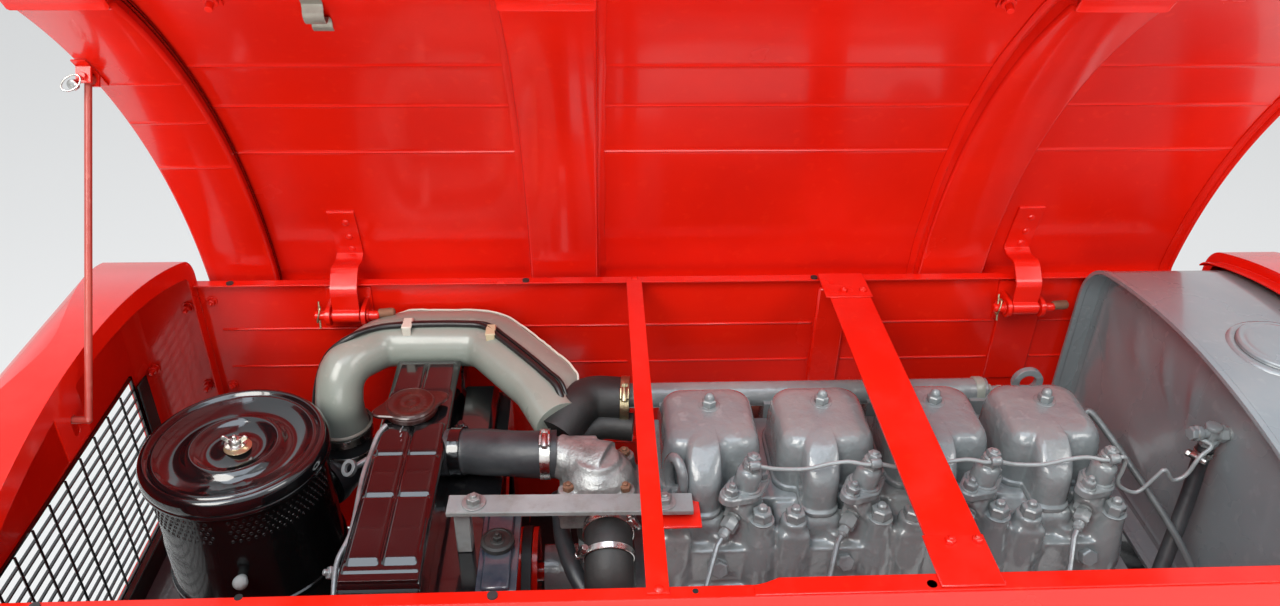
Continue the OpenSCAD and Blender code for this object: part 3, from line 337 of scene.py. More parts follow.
def joined(forms):
    points, faces, start = [], [], 0
    for p, f in forms:
        points.append(np.asarray(p, float))
        faces += [[k + start for k in face] for face in f]
        start += len(p)
    return np.concatenate(points), faces


def placed(form, at=(0, 0, 0), axis=(0, 0, 1), hint=(0, 1, 0)):
    return np.asarray(form[0]) @ axisFrame(axis, hint).T + np.asarray(at, float), form[1]


def moved(form, *by):
    return np.asarray(form[0]) + np.asarray(by, float), form[1]


def spun(form, turn):
    # turned about its own Z, clockwise from above
    c, s = cos(turn), sin(turn)
    return form[0] @ np.array([[c, s, 0], [-s, c, 0], [0, 0, 1]]), form[1]


def ringFaces(rings, sides, capStart=True, capEnd=True):
    faces = []
    for i, k in product(range(rings - 1), range(sides)):
        a, b = i * sides, (k + 1) % sides
        faces.append([a + k, a + b, a + sides + b, a + sides + k])
    if capStart:
        faces.append(list(range(sides - 1, -1, -1)))
    if capEnd:
        faces.append([(rings - 1) * sides + k for k in range(sides)])
    return faces


def grid(rows):
    # faces between rows of points
    cols = len(rows[0])
    faces = [[i * cols + k, i * cols + k + 1, (i + 1) * cols + k + 1, (i + 1) * cols + k]
             for i in range(len(rows) - 1) for k in range(cols - 1)]
    return np.concatenate([np.asarray(r, float) for r in rows]), faces


def sheetForm(over, under):
    # rows of points over and under a thick sheet, closed all round
    rows, cols = len(over), len(over[0])
    points = np.array([p for a, b in zip(over, under) for p in a + b[::-1]])
    faces = ringFaces(rows, cols * 2, False, False)
    for base in (0, (rows - 1) * cols * 2):
        end = base + 2 * cols - 1
        faces += [[base + k, base + k + 1, end - 1 - k, end - k] for k in range(cols - 1)]
    return points, faces


def lathe(profile, sides=32, capStart=True, capEnd=True, turn=0.0):
    # profile holds (radius, height) from low to high
    angles = np.arange(sides) * 2 * pi / sides + turn
    points = [[r * cos(a), r * sin(a), h] for r, h in profile for a in angles]
    return np.array(points), ringFaces(len(profile), sides, capStart, capEnd)


def openLathe(profile, sides):
    return lathe(profile, sides, False, False)


def hexNut(across, height, chamfer=0.14):
    r = across / sqrt(3)
    c = height * chamfer
    return lathe([(r * 0.96, 0), (r, c * 0.6), (r, height - c), (r * 0.86, height)], 6, turn=pi / 6)


def washer(radius, height, hole=0.0):
    if hole:
        return openLathe([(hole, 0), (radius, 0), (radius, height), (hole, height), (hole, 0)], 24)
    return lathe([(radius, 0), (radius, height * 0.8), (radius * 0.97, height)], 24)


def boltHead(across=13, height=6, washerR=0, stud=0, dome=False):
    # washer, hexagon and, if wanted, a stud end or an acorn on it; stands on z = 0
    base = 1.8 if washerR else 0.0
    forms = [washer(washerR, base)] if washerR else []
    forms.append(moved(hexNut(across, height), 0, 0, base))
    if dome:
        r = across * 0.40
        steps = ((1, -0.5 / r), (1, 0.5), (0.86, 0.95), (0.5, 1.3), (0.1, 1.42))
        forms.append(moved(lathe([(r * a, r * h) for a, h in steps], 20), 0, 0, base + height))
    elif stud:
        r = across * 0.27
        forms.append(moved(lathe([(r, -0.5), (r, stud - r * 0.3), (r * 0.7, stud)], 16), 0, 0, base + height))
    return joined(forms)


def bolts(places, across=13.0, height=6.0, washerR=8.5, stud=0.0, axis=(0, 0, 1)):
    # bolt heads at several places, each turned a little
    hint = (0, 0, 1) if abs(axis[2]) < 0.9 else (0, 1, 0)
    return joined([placed(spun(boltHead(across, height, washerR, stud), 0.7 * i), at, axis, hint)
                   for i, at in enumerate(places)])


def rivet(radius, height):
    steps = ((1, 0), (0.96, 0.4), (0.72, 0.8), (0.3, 1))
    return lathe([(radius * a, height * h) for a, h in steps], 16)


def block(x, y, z, edge=1.0):
    # a box with chamfered edges, given by its ranges
    spans = (x, y, z)
    e = min(edge, *((high - low) * 0.45 for low, high in spans))
    index, points = {}, []
    for corner in product((0, 1), repeat=3):
        for a in range(3):      # the corner's point on the face across axis a
            index[corner, a] = len(points)
            points.append([spans[k][corner[k]] + (k != a) * e * (1 - 2 * corner[k]) for k in range(3)])
    faces = [[index[corner, a] for a in range(3)] for corner in product((0, 1), repeat=3)]
    for a in range(3):
        b, c = (k for k in range(3) if k != a)

        def at(s, t, u):
            return tuple({a: s, b: t, c: u}[k] for k in range(3))
        for s in (0, 1):
            faces.append([index[at(s, t, u), a] for t, u in ((0, 0), (1, 0), (1, 1), (0, 1))])
        for t, u in product((0, 1), repeat=2):
            faces.append([index[at(s, t, u), side] for s, side in ((0, b), (1, b), (1, c), (0, c))])
    return np.array(points), faces


def smoothPath(points, steps=6):
    # a curve through the given points
    p = np.array(points, float)
    q = np.vstack([2 * p[0] - p[1], p, 2 * p[-1] - p[-2]])
    out = []
    for a, b, c, d in zip(q, q[1:], q[2:], q[3:]):
        for t in np.arange(steps) / steps:
            out.append(0.5 * (2 * b + (c - a) * t + (2 * a - 5 * b + 4 * c - d) * t ** 2
                              + (3 * b - a - 3 * c + d) * t ** 3))
    return np.array(out + [p[-1]])


def roundedPath(points, radius, steps=8):
    # straight runs joined by arcs, as part.scad draws its pipes
    p = [np.array(q, float) for q in points]
    out = [p[0]]
    for i in range(1, len(p) - 1):
        r = radius[i] if isinstance(radius, (list, tuple)) else radius
        u, v = unit(p[i - 1] - p[i]), unit(p[i + 1] - p[i])
        half = acos(max(-1, min(1, float(u @ v)))) / 2
        if pi / 2 - half < 0.02:
            out.append(p[i])
            continue
        c = p[i] + unit(u + v) * r / sin(half)
        e1, e2 = p[i] + u * r / tan(half) - c, p[i] + v * r / tan(half) - c
        turn = pi - 2 * half
        for t in np.arange(steps + 1) / steps:
            out.append(c + (e1 * sin(turn * (1 - t)) + e2 * sin(turn * t)) / sin(turn))
    return np.array(out + [p[-1]])


def resampled(path, step):
    path = np.asarray(path, float)
    run = np.concatenate([[0], np.cumsum(np.linalg.norm(np.diff(path, axis=0), axis=1))])
    s = np.linspace(0, run[-1], max(2, int(round(run[-1] / step)) + 1))
    return np.stack([np.interp(s, run, path[:, k]) for k in range(3)], 1)


def carriedFrames(path):
    # two directions across the path, carried along it without twist
    tangents = np.gradient(path, axis=0)
    normal = np.array([0, 0, 1.0])
    if abs(unit(tangents[0]) @ normal) > 0.95:
        normal = np.array([1.0, 0, 0])
    frames = []
    for t in map(unit, tangents):
        normal = unit(normal - t * (normal @ t))
        frames.append((normal, np.cross(t, normal)))
    return frames


def tube(path, radius, sides=16):
    # radius is one number, or one for each point of the path
    path = np.asarray(path, float)
    radii = np.full(len(path), radius, float) if np.isscalar(radius) else radius
    angles = np.arange(sides) * 2 * pi / sides
    points = [p + r * (n * cos(a) + b * sin(a))
              for p, r, (n, b) in zip(path, radii, carriedFrames(path)) for a in angles]
    return np.array(points), ringFaces(len(path), sides)


def ribbon(path, width, thick, across):
    # a flat strip along the path with chamfered edges; across is the direction of its width
    path = np.asarray(path, float)
    across = unit(across)
    e = min(thick * 0.3, 0.8)
    w, h = width / 2, thick / 2
    section = ((-w, e - h), (e - w, -h), (w - e, -h), (w, e - h),
               (w, h - e), (w - e, h), (e - w, h), (-w, h - e))
    points = [p + across * a + unit(np.cross(unit(t), across)) * b
              for p, t in zip(path, np.gradient(path, axis=0)) for a, b in section]
    return np.array(points), ringFaces(len(path), 8)


def plate(outline, low, high, edge=0.6):
    # a flat outline, drawn from low to high, with a small chamfer round both faces
    o = np.array(outline, float)
    if np.sum(o[:, 0] * np.roll(o[:, 1], -1) - o[:, 1] * np.roll(o[:, 0], -1)) < 0:
        o = o[::-1]
    before, after = np.roll(o, 1, 0), np.roll(o, -1, 0)
    a = (o - before) / np.linalg.norm(o - before, axis=1)[:, None]
    b = (after - o) / np.linalg.norm(after - o, axis=1)[:, None]
    inward = np.stack([-(a + b)[:, 1], (a + b)[:, 0]], 1)
    inner = o + inward / np.maximum(1e-9, np.linalg.norm(inward, axis=1))[:, None] * edge
    rings = [np.c_[ring, np.full(len(o), h)]
             for ring, h in ((inner, low), (o, low + edge), (o, high - edge), (inner, high))]
    return np.concatenate(rings), ringFaces(4, len(o))


def upright(form, side=1):
    # a flat plate stood up to face along Y
    return form[0][:, [0, 2, 1]] * (1, side, 1), form[1]


def hullOutline(circles, steps=48):
    # the outline round circles given as (x, y, radius)
    c = np.array(circles, float)
    out = []
    for angle in np.arange(steps) * 2 * pi / steps:
        n = np.array([cos(angle), sin(angle)])
        best = int(np.argmax(c[:, :2] @ n + c[:, 2]))
        out.append(tuple(c[best, :2] + c[best, 2] * n))
    return [p for i, p in enumerate(out) if dist(p, out[i - 1]) > 0.05]


def ringTube(center, u, v, a, b, radius, sides=14, steps=48):
    # a closed ring with half axes a along u and b along v
    center, u, v = np.asarray(center, float), unit(u), unit(v)
    side = np.cross(u, v)
    points = []
    for t in np.arange(steps) * 2 * pi / steps:
        out = unit(u * cos(t) / a + v * sin(t) / b)
        at = center + u * a * cos(t) + v * b * sin(t)
        points += [at + radius * (out * cos(s) + side * sin(s)) for s in np.arange(sides) * 2 * pi / sides]
    faces = [[i * sides + m, i * sides + (m + 1) % sides, (i + 1) % steps * sides + (m + 1) % sides,
              (i + 1) % steps * sides + m] for i in range(steps) for m in range(sides)]
    return np.array(points), faces


def wormClamp(at, axis, radius, width=11.0, turn=0.0):
    # a band with a raised middle, its screw housing and the screw's hexagon
    h = width / 2
    screw = radius + 5.4
    band = ((0, -h), (1.2, -h + 0.4), (1.0, -h * 0.5), (1.3, 0), (1.0, h * 0.5), (1.2, h - 0.4), (0, h))
    forms = [openLathe([(radius + rise, z) for rise, z in band], 40),
             block((-8, 8), (radius + 0.4, radius + 5.5), (-h - 0.6, h + 0.6), 1.2),
             placed(lathe([(3.8, -11), (4.2, -9), (4.2, 7), (3.4, 8)], 14), (0, screw, 0), (1, 0, 0)),
             placed(hexNut(8, 5), (8, screw, 0), (1, 0, 0))]
    return placed(spun(joined(forms), radians(turn)), at, axis, (0, 0, 1))


def linked(name, mesh):
    made = bpy.data.objects.new(name, mesh)
    bpy.context.scene.collection.objects.link(made)
    return made


def addPiece(name, form, finish, body="root", replaced=None, smooth=38, thick=0.0):
    # a piece that replaces a solid hides that solid; an open sheet gets its thickness here
    points, faces = joined(form) if isinstance(form, list) else form
    mesh = bpy.data.meshes.new(name)
    mesh.from_pydata((np.asarray(points) * 0.001).tolist(), [], faces)
    mesh.validate()
    if not thick:       # every closed form faces outwards
        shell = bmesh.new()
        shell.from_mesh(mesh)
        bmesh.ops.recalc_face_normals(shell, faces=shell.faces)
        shell.to_mesh(mesh)
        shell.free()
    mesh.polygons.foreach_set("use_smooth", [True] * len(mesh.polygons))
    mesh.update()
    mesh.set_sharp_from_angle(angle=radians(smooth))
    mesh.materials.append(finishes[finish])
    made = linked(name, mesh)
    if thick:
        sheet = made.modifiers.new("sheet", "SOLIDIFY")
        sheet.thickness = thick * 0.001
        sheet.offset = -1
    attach(made, body)
    if replaced:
        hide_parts(replaced)


def castCopy(name, node, finish, voxel, smooth, rough, extra):
    # a solid and its raised forms, melted together with soft fillets and a cast skin
    data = nodes[node].data
    solid = np.array([v.co for v in data.vertices]) * 1000, [list(f.vertices) for f in data.polygons]
    points, faces = joined([solid] + extra)
    mesh = bpy.data.meshes.new(name)
    mesh.from_pydata((points * 0.001).tolist(), [], faces)
    made = linked(name, mesh)
    remesh = made.modifiers.new("voxels", "REMESH")
    remesh.mode = "VOXEL"
    remesh.voxel_size = voxel * 0.001
    soften = made.modifiers.new("soften", "SMOOTH")
    soften.factor = 0.5
    soften.iterations = smooth
    lumps = bpy.data.textures.new(name + "Lumps", "CLOUDS")
    lumps.noise_scale = 0.03
    push = made.modifiers.new("lumps", "DISPLACE")
    push.texture = lumps
    push.texture_coords = "GLOBAL"
    push.strength = rough * 0.001
    final = bpy.data.meshes.new_from_object(made.evaluated_get(bpy.context.evaluated_depsgraph_get()))
    made.modifiers.clear()
    made.data = final
    final.polygons.foreach_set("use_smooth", [True] * len(final.polygons))
    final.materials.append(finishes[finish])
    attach(made, "root")
    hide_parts(node)


# The lid, drawn closed and then opened
lid = {
    "hingeY": 268.0, "hingeZ": 504.0, "open": 60.0, "halfWidth": 304.0, "shoulder": 40.0, "shoulderZ": 551.0,
    "top": 640.0, "front": -1525.0, "rear": -75.0, "skin": 2.0,
    "creases": (-116, -34, 58), "creaseDepth": 1.6,         # their places across the lid
    "ribs": (-1523, -1055, -475), "ribWidth": 100.0, "ribDepth": 25.0, "ribFlange": 10,
    "ribTurns": (-1.52, 1.36), "ribSheet": 1.6,
    "lipTurns": (-1.36, 1.36), "lip": ((-14, 2.4), (-3, 2.4), (-1.2, 3.6), (-0.8, 13)), "lipSheet": 1.4,
}
crownReach = lid["halfWidth"] - lid["shoulder"]
crownDrop = lid["top"] - lid["shoulderZ"]
crownRadius = (crownReach ** 2 + crownDrop ** 2 - lid["shoulder"] ** 2) / (2 * (crownDrop - lid["shoulder"]))
crownZ = lid["top"] - crownRadius
crownAngle = atan2(crownReach, lid["shoulderZ"] - crownZ)
creaseTurns = [asin(y / crownRadius) for y in lid["creases"]]


def openLid(points):
    out = np.array(points, float)
    a = radians(lid["open"])
    y, z = out[..., 1] - lid["hingeY"], out[..., 2] - lid["hingeZ"]
    out[..., 1] = y * cos(a) + z * sin(a) + lid["hingeY"]
    out[..., 2] = -y * sin(a) + z * cos(a) + lid["hingeZ"]
    return out


def openForm(form):
    return openLid(form[0]), form[1]


def archPoint(turn, inset):
    # a point of the bonnet's section; turn runs from -90 degrees (near side) to 90 (hinge side)
    if abs(turn) <= crownAngle:
        return (crownRadius - inset) * sin(turn), crownZ + (crownRadius - inset) * cos(turn)
    bend = lid["shoulder"] - inset
    return copysign(crownReach, turn) + bend * sin(turn), lid["shoulderZ"] + bend * cos(turn)


def archTurns(low=-pi / 2, high=pi / 2, creaseSteps=(), extra=()):
    # finer over the shoulders and beside each crease
    turns = [*np.linspace(-pi / 2, -crownAngle, 13), *np.linspace(-crownAngle, crownAngle, 61)[1:],
             *np.linspace(crownAngle, pi / 2, 13)[1:], *extra]
    turns += [c + d / crownRadius for c in creaseTurns for d in creaseSteps]
    return [t for t in sorted({round(float(t), 6) for t in turns}) if low - 1e-6 <= t <= high + 1e-6]


def creasePress(turn, depth, width):
    return sum(depth * exp(-((turn - c) * crownRadius / width) ** 2) for c in creaseTurns)


def buildLidPanel():
    turns = archTurns(creaseSteps=(-5, -2.5, -1.2, 0, 1.2, 2.5, 5))
    ends = [lid["front"] + 3, lid["rear"] - 3]
    phases = np.random.RandomState(4).uniform(0, 6.28, 8)
    over, under = [], []
    for x in np.unique([*np.linspace(lid["front"], lid["rear"], 59), *ends]):
        end = min(x - lid["front"], lid["rear"] - x)
        rowOver, rowUnder = [], []
        for t in turns:
            inset = creasePress(t, lid["creaseDepth"], 1.8) * min(1, max(0, (end - 4) / 12))
            if abs(t) < crownAngle * 1.2:       # the sheet's slow waves
                s = t * crownRadius
                sway = (0.5 * sin(x / 83 + phases[0]) * sin(s / 61 + phases[1])
                        + 0.35 * sin(x / 47 + phases[2]) * sin(s / 39 + phases[3]))
                inset += max(0.0, min(1, end / 60) * sway) * 0.5
            rowOver.append((x, *archPoint(t, 0.05 + inset)))
            rowUnder.append((x, *archPoint(t, lid["skin"] + inset)))
        over.append(rowOver)
        under.append(rowUnder)
    addPiece("lidPanel", openForm(sheetForm(over, under)), "redPaint", "lid", "lid_skin", smooth=50)


def ribProfile(first):
    # (along, inset) over one rib; the first has a plain turned edge, clear of the skin
    w, depth, flange, low = lid["ribWidth"], lid["ribDepth"], lid["ribFlange"], lid["skin"] + 0.3
    middle = [(0, low + 3), (0.6, depth - 5), (1.8, depth - 1.6), (4.5, depth), (w - 4.5, depth),
              (w - 1.8, depth - 1.6), (w - 0.6, depth - 5), (w, low + 3)]
    if first:
        return middle + [(w - 0.4, 12), (w - 0.8, 9.6), (w - 1.4, 9)]
    side = [(flange, low), (2.5, low), (0.7, low + 1.2)]
    return [(-x, inset) for x, inset in side] + middle + [(w + x, inset) for x, inset in side[::-1]]


def buildLidRibs():
    forms = []
    w, low = lid["ribWidth"], lid["skin"] + 0.3
    for i, x0 in enumerate(lid["ribs"]):
        over, under = [], []
        for t in archTurns(*lid["ribTurns"], (-4, -2, 0, 2, 4), (-1.52, -1.48, -1.42)):
            rise = min(1, (t + 1.53) / 0.24)        # the rib runs out at the near side
            wave = 1 + 0.06 * sin(t * 40 + i)
            rowOver, rowUnder = [], []
            for x, inset in ribProfile(i == 0):
                if i == 0 and 4 < x < w - 4:
                    inset += creasePress(t, 1.3, 1.6)
                flat = min(w, max(0, x))
                level = low + (inset - low) * rise
                for row, depth in ((rowOver, level), (rowUnder, level + lid["ribSheet"])):
                    row.append((x0 + flat + (x - flat) * wave, *archPoint(t, depth)))
            over.append(rowOver)
            under.append(rowUnder)
        forms.append(openForm(sheetForm(over, under)))
    addPiece("lidRibs", forms, "redPaint", "lid", "lid_ribs", smooth=40)
    lip = openForm(grid([[(lid["rear"] + x, *archPoint(t, inset)) for x, inset in lid["lip"]]
                         for t in archTurns(*lid["lipTurns"])]))
    addPiece("lidRearLip", lip, "redPaint", "lid", thick=lid["lipSheet"])


# The engine's top
engine = {
    "cylinders": (-822.0, -682.0, -542.0, -402.0),
    "blockZ": 350, "headZ": 445.0, "nutZ": 453.0, "clampZ": 477.0,
    "nutX": (-48, 53), "nutY": -104.0, "injectorX": 33.0, "injectorY": -82.0, "clampReach": 28,
    "coverY": 12.0, "coverHalf": 61.0, "coverHeight": 76.0, "lobeY": -104, "lobeX": (-36, 8),
    "lean": (0.17, 0.04, 1.0), "unionWay": (-0.55, -0.75, -0.37), "plugWay": (0.05, -0.9, 0.42),
    "coverNuts": ((-821, 25, 519.8), (-680, 28, 519.8), (-538, 26, 519.8), (-397, 24, 519.8)),
    "plugs": ((-819, -120, 393), (-669, -116, 396), (-533, -118, 398), (-375, -117, 396)),
    "barrel": ((14.8, 8), (14.8, 13), (15.6, 14), (15.3, 30), (14.4, 34), (12.4, 36.5), (10.2, 37.5)),
    "pipeEnd": ((7.4, 8), (7.4, 19), (8.6, 20), (8.6, 22), (6.2, 23), (6.2, 45), (5.2, 47), (5.2, 50),
                (3.6, 52)),
    # share of the cover's outline and of its height, from the foot to the crown
    "coverRings": ((0.98, -0.02), (1.04, 0.0), (1.045, 0.03), (1.045, 0.075), (1.03, 0.09), (1.0, 0.10),
                   (0.993, 0.14), (0.988, 0.3), (0.982, 0.5), (0.97, 0.64), (0.948, 0.76), (0.91, 0.86),
                   (0.855, 0.925), (0.78, 0.965), (0.66, 0.985), (0.5, 0.995), (0.3, 1.0), (0.05, 1.0)),
}


def coverForm(x, i):
    # a rounded square cover with a lobe towards its injector
    h, lobe, (a, b) = engine["coverHalf"], engine["lobeY"], engine["lobeX"]
    corners = [(0, h), (-h, h), (-h, -h), (a, -h), (a, lobe), (b, lobe), (b, -h), (h, -h), (h, h), (0, h)]
    path = roundedPath([(*c, 0) for c in corners], [0, 28, 22, 4, 17, 18, 13, 26, 28, 0], 9)[:-1]
    points = []
    for (scale, share), (px, py, _) in product(engine["coverRings"], path):
        low = min(1, max(0, (-py * scale - 52) / 48))
        z = share * engine["coverHeight"] * (1 - 0.26 * low * low * (3 - 2 * low) * min(1, share * 1.6))
        warp = 0.5 * sin(px / 17 + i * 2.1) * sin(py / 23 + i) * share
        points.append((x + px * scale + warp, engine["coverY"] + py * scale + warp, engine["headZ"] + z))
    return np.array(points), ringFaces(len(engine["coverRings"]), len(path))


def buildHeads():
    z, bosses = engine["blockZ"], []
    for x in engine["cylinders"]:
        injector = x + engine["injectorX"], engine["injectorY"]
        for dx in engine["nutX"]:
            boss = lathe([(25, 6), (24, 40), (20, 66), (16.5, 88), (15.6, 102)], 28)
            bosses.append(moved(boss, x + dx, engine["nutY"] + 2, z))
        bosses += [
            moved(lathe([(30, 30), (26, 62), (19, 84), (16, 108), (15.5, 126)], 28), *injector, z),
            placed(lathe([(22, -14), (17, 10), (13.5, 20)], 24), (*injector, 459), engine["unionWay"]),
            placed(lathe([(24, -30), (20, 4), (14, 12)], 24), (x + 8, -98, 396), engine["plugWay"]),
            block((x - 68.2, x + 68.2), (-127, -60), (z, z + 12), 3),
            block((x - 67, x - 29), (-121, -60), (z + 2, 440), 4),
            block((x - 40, x + 12), (-100, -60), (380, 446), 8)]
    castCopy("headCastings", "cylinder_heads", "greyPaint", 2.6, 5, 1.1, bosses)


def injectorFoot(x):
    return np.array([x + engine["injectorX"], engine["injectorY"], engine["clampZ"] - 3])


def buildEngineTop():
    covers = [coverForm(x, i) for i, x in enumerate(engine["cylinders"])]
    addPiece("coverShells", covers, "greyPaint", replaced="rocker_covers", smooth=50)
    acorn = boltHead(16, 9, 13.5, dome=True)
    addPiece("coverNuts", [moved(acorn, *p) for p in engine["coverNuts"]], "greyPaint")
    nuts, bodies, studs, unions = [], [], [], []
    lean, reach = unit(engine["lean"]), engine["clampReach"]
    collar = lathe([(18.6, 0), (18.2, 2), (15.8, 2.5)], 28)
    barrel = lathe(engine["barrel"], 28)
    thread = lathe([(9.4, 42), (10.6, 44), (9.6, 45.4), (10.6, 47), (9.4, 49)], 24)
    pipeEnd = lathe(engine["pipeEnd"], 20)
    for i, x in enumerate(engine["cylinders"]):
        for k, dx in enumerate(engine["nutX"]):
            nut = boltHead(21, 13, 15 if k else 0, stud=7)
            nuts.append(moved(nut, x + dx, engine["nutY"], engine["nutZ"] - 1))
        angle = radians(221 + 3 * sin(i * 2.0))
        ears = [(s * reach * cos(angle), s * reach * sin(angle)) for s in (1, -1)]
        foot = plate(hullOutline([(0, 0, 21)] + [(*ear, 12) for ear in ears]), 0, 11, 1.6)
        body = [foot, moved(collar, 0, 0, 11), barrel, moved(hexNut(19.5, 7), 0, 0, 36), thread]
        body += [moved(boltHead(14, 8, 9.6, stud=6), *ear, 10.8) for ear in ears]
        at = injectorFoot(x)
        bodies.append(placed(joined(body), at, lean))
        studs += [placed(moved(hexNut(14.5, 7), 0, 0, 49), at, lean),
                  placed(lathe([(4, 55), (4, 57.5), (3, 58.4)], 14), at, lean),
                  placed(lathe([(5, 0), (5, 30), (4, 31)], 14), (x + 14, -92, 448), (0.35, 0.25, 0.9))]
        union = joined([pipeEnd, moved(hexNut(17.5, 15), 0, 0, 25), moved(hexNut(12, 7), 0, 0, 42)])
        unions.append(placed(union, at - (0, 0, 15), engine["unionWay"], (0, 0, 1)))
    addPiece("headNuts", nuts, "greyPaint", replaced="head_nuts")
    addPiece("injectorBodies", bodies, "greyPaint", replaced="injectors")
    addPiece("injectorUnions", unions, "greyPaint")
    addPiece("banjoBolts", studs, "greyPaint")
    addPiece("headPlugs", bolts(engine["plugs"], 19, 12, 12.5, axis=engine["plugWay"]), "greyPaint")


leakLine = {
    "radius": 2.5, "rise": 50.0, "eye": (0, -9.5, -1),
    "after": ((0, -9.5, -1), (9, -9.5, -3), (26, -8, -8)),          # from each banjo
    "between": ((0.42, -8, -9), (0.62, -6, -4), (0.78, -6, -1)),    # share of the gap, then Y and Z
    "before": (-11, -9, -3),
    "end": ((0, -9.5, -1), (10, -9, 1), (17, -6, -6), (18, -5, -24), (17, -5, -38), (24, -5, -50),
            (46, -5, -58), (62, -5, -34), (70, -5, -24), (84, -5, -40), (98, -5, -32), (108, -2, -8),
            (122, 4, 4)),
    "tap": (-252, -66, 532),
}


def buildLeakLine():
    tops = [injectorFoot(x) + unit(engine["lean"]) * leakLine["rise"] for x in engine["cylinders"]]
    points = []
    for a, b in zip(tops, tops[1:]):
        points += [a + step for step in leakLine["after"]]
        points += [a + (b - a) * share + (0, y, z) for share, y, z in leakLine["between"]]
        points.append(b + leakLine["before"])
    points += [tops[-1] + step for step in leakLine["end"]] + [leakLine["tap"]]
    line = tube(smoothPath(points, 5), leakLine["radius"], 12)
    addPiece("leakOffLine", line, "pipeGrey", replaced="leak_off_line")
    eye = lathe([(5.4, -6), (6, -4.5), (6, 4.5), (5.4, 6)], 16)
    addPiece("banjoEyes", [placed(eye, t + leakLine["eye"], (1, 0.1, 0)) for t in tops], "greyPaint")


lifting = {"ring": (-868.0, -66.0, 486.0), "turn": 26, "halves": (17, 27), "wire": 6.2,
           "nozzle": (-446, 120, 466)}


def buildLifting():
    x, y, z = lifting["ring"]
    across = (-sin(radians(lifting["turn"])), cos(radians(lifting["turn"])), 0)
    foot = lathe([(16.5, -14), (17.5, 2), (17, 10), (15, 14), (9, 14.5), (6.5, 12), (6, 4)], 28)
    ring = ringTube((x, y, z), across, (0, 0, 1), *lifting["halves"], lifting["wire"])
    lug = block((x - 10, x + 10), (y - 16, y + 3), (416, 442), 2)
    addPiece("liftingRing", [ring, moved(foot, x, y - 6, z - 33), lug], "greyPaint", replaced="lifting_ring")
    addPiece("ringTab", block((-895, -842), (-131, -84), (466.5, 469.5), 0.8), "redPaint")
    nozzle = [lathe([(17.1, -1), (18.6, 0), (18.6, 9), (17.6, 12), (13, 15), (8, 16)], 32),
              moved(hexNut(15, 9), 0, 0, 15),
              lathe([(5, 23), (5, 32), (6, 33), (6, 39), (3.6, 40), (3.6, 58)], 16)]
    addPiece("logNozzle", placed(joined(nozzle), lifting["nozzle"], (1, 0, 0), (0, 0, 1)), "pipePaint")


# The air cleaner
cleaner = {
    "x": -1411.0, "y": 30.0, "z": 460.0, "body": 106.0, "dish": 1.7,
    "stamp": (18, -74, 33), "stampHeight": 1.5,         # the oval pressed into the cover
    "holeRows": 5, "holes": 76, "holeZ": 434, "holeStep": 7.4,
    # (radius, height) from the middle out; heights above 0 are multiplied by the dish
    "cover": ((0.5, 4.2), (9, 4.0), (16, 2.4), (24, 0.6), (34, 0.2), (42, 1.6), (47, 3.6), (50.5, 5.2),
              (53.5, 5.6), (56.5, 4.9), (60, 2.6), (64, 0.4), (68, -0.4), (74, 0.2), (80, 1.2), (86, 2.4),
              (90.5, 3.6), (94, 5.2), (96.2, 5.8), (98.2, 5.0), (99.6, 4.2), (101.2, 4.8), (103, 6.4),
              (105.4, 7.2), (108.2, 6.8), (110.8, 5.2), (112.6, 2.6), (113.6, -0.4), (113.8, -3.6),
              (113.2, -6.6), (112.2, -8.2), (113.2, -9.6), (113.6, -11.8), (112.6, -13.8), (108, -14.2),
              (105.5, -13)),
    "wall": ((60, 226), (102, 226.5), (108, 229), (110, 233), (110, 282), (111.6, 284), (112.4, 288),
             (111.2, 292), (108.6, 293.5), (108, 296), (107.6, 352), (106.6, 357), (106, 362), (106, 452)),
}


def cleanerCover(sides=120):
    dx, dy, size = cleaner["stamp"]
    points = []
    for r, h in cleaner["cover"]:
        for a in np.arange(sides) * 2 * pi / sides:
            x, y = r * cos(a), r * sin(a)
            u, v = x - dx, y - dy
            ring = hypot(u * 0.97 + v * 0.24, (v * 0.97 - u * 0.24) * 3.0) / size
            stamp = cleaner["stampHeight"] * exp(-((ring - 1) / 0.16) ** 2) if h > -5 else 0
            lift = h * cleaner["dish"] if h > 0 else h
            points.append((cleaner["x"] + x, cleaner["y"] + y, cleaner["z"] + lift + stamp))
    return np.array(points), ringFaces(len(cleaner["cover"]), sides, True, False)


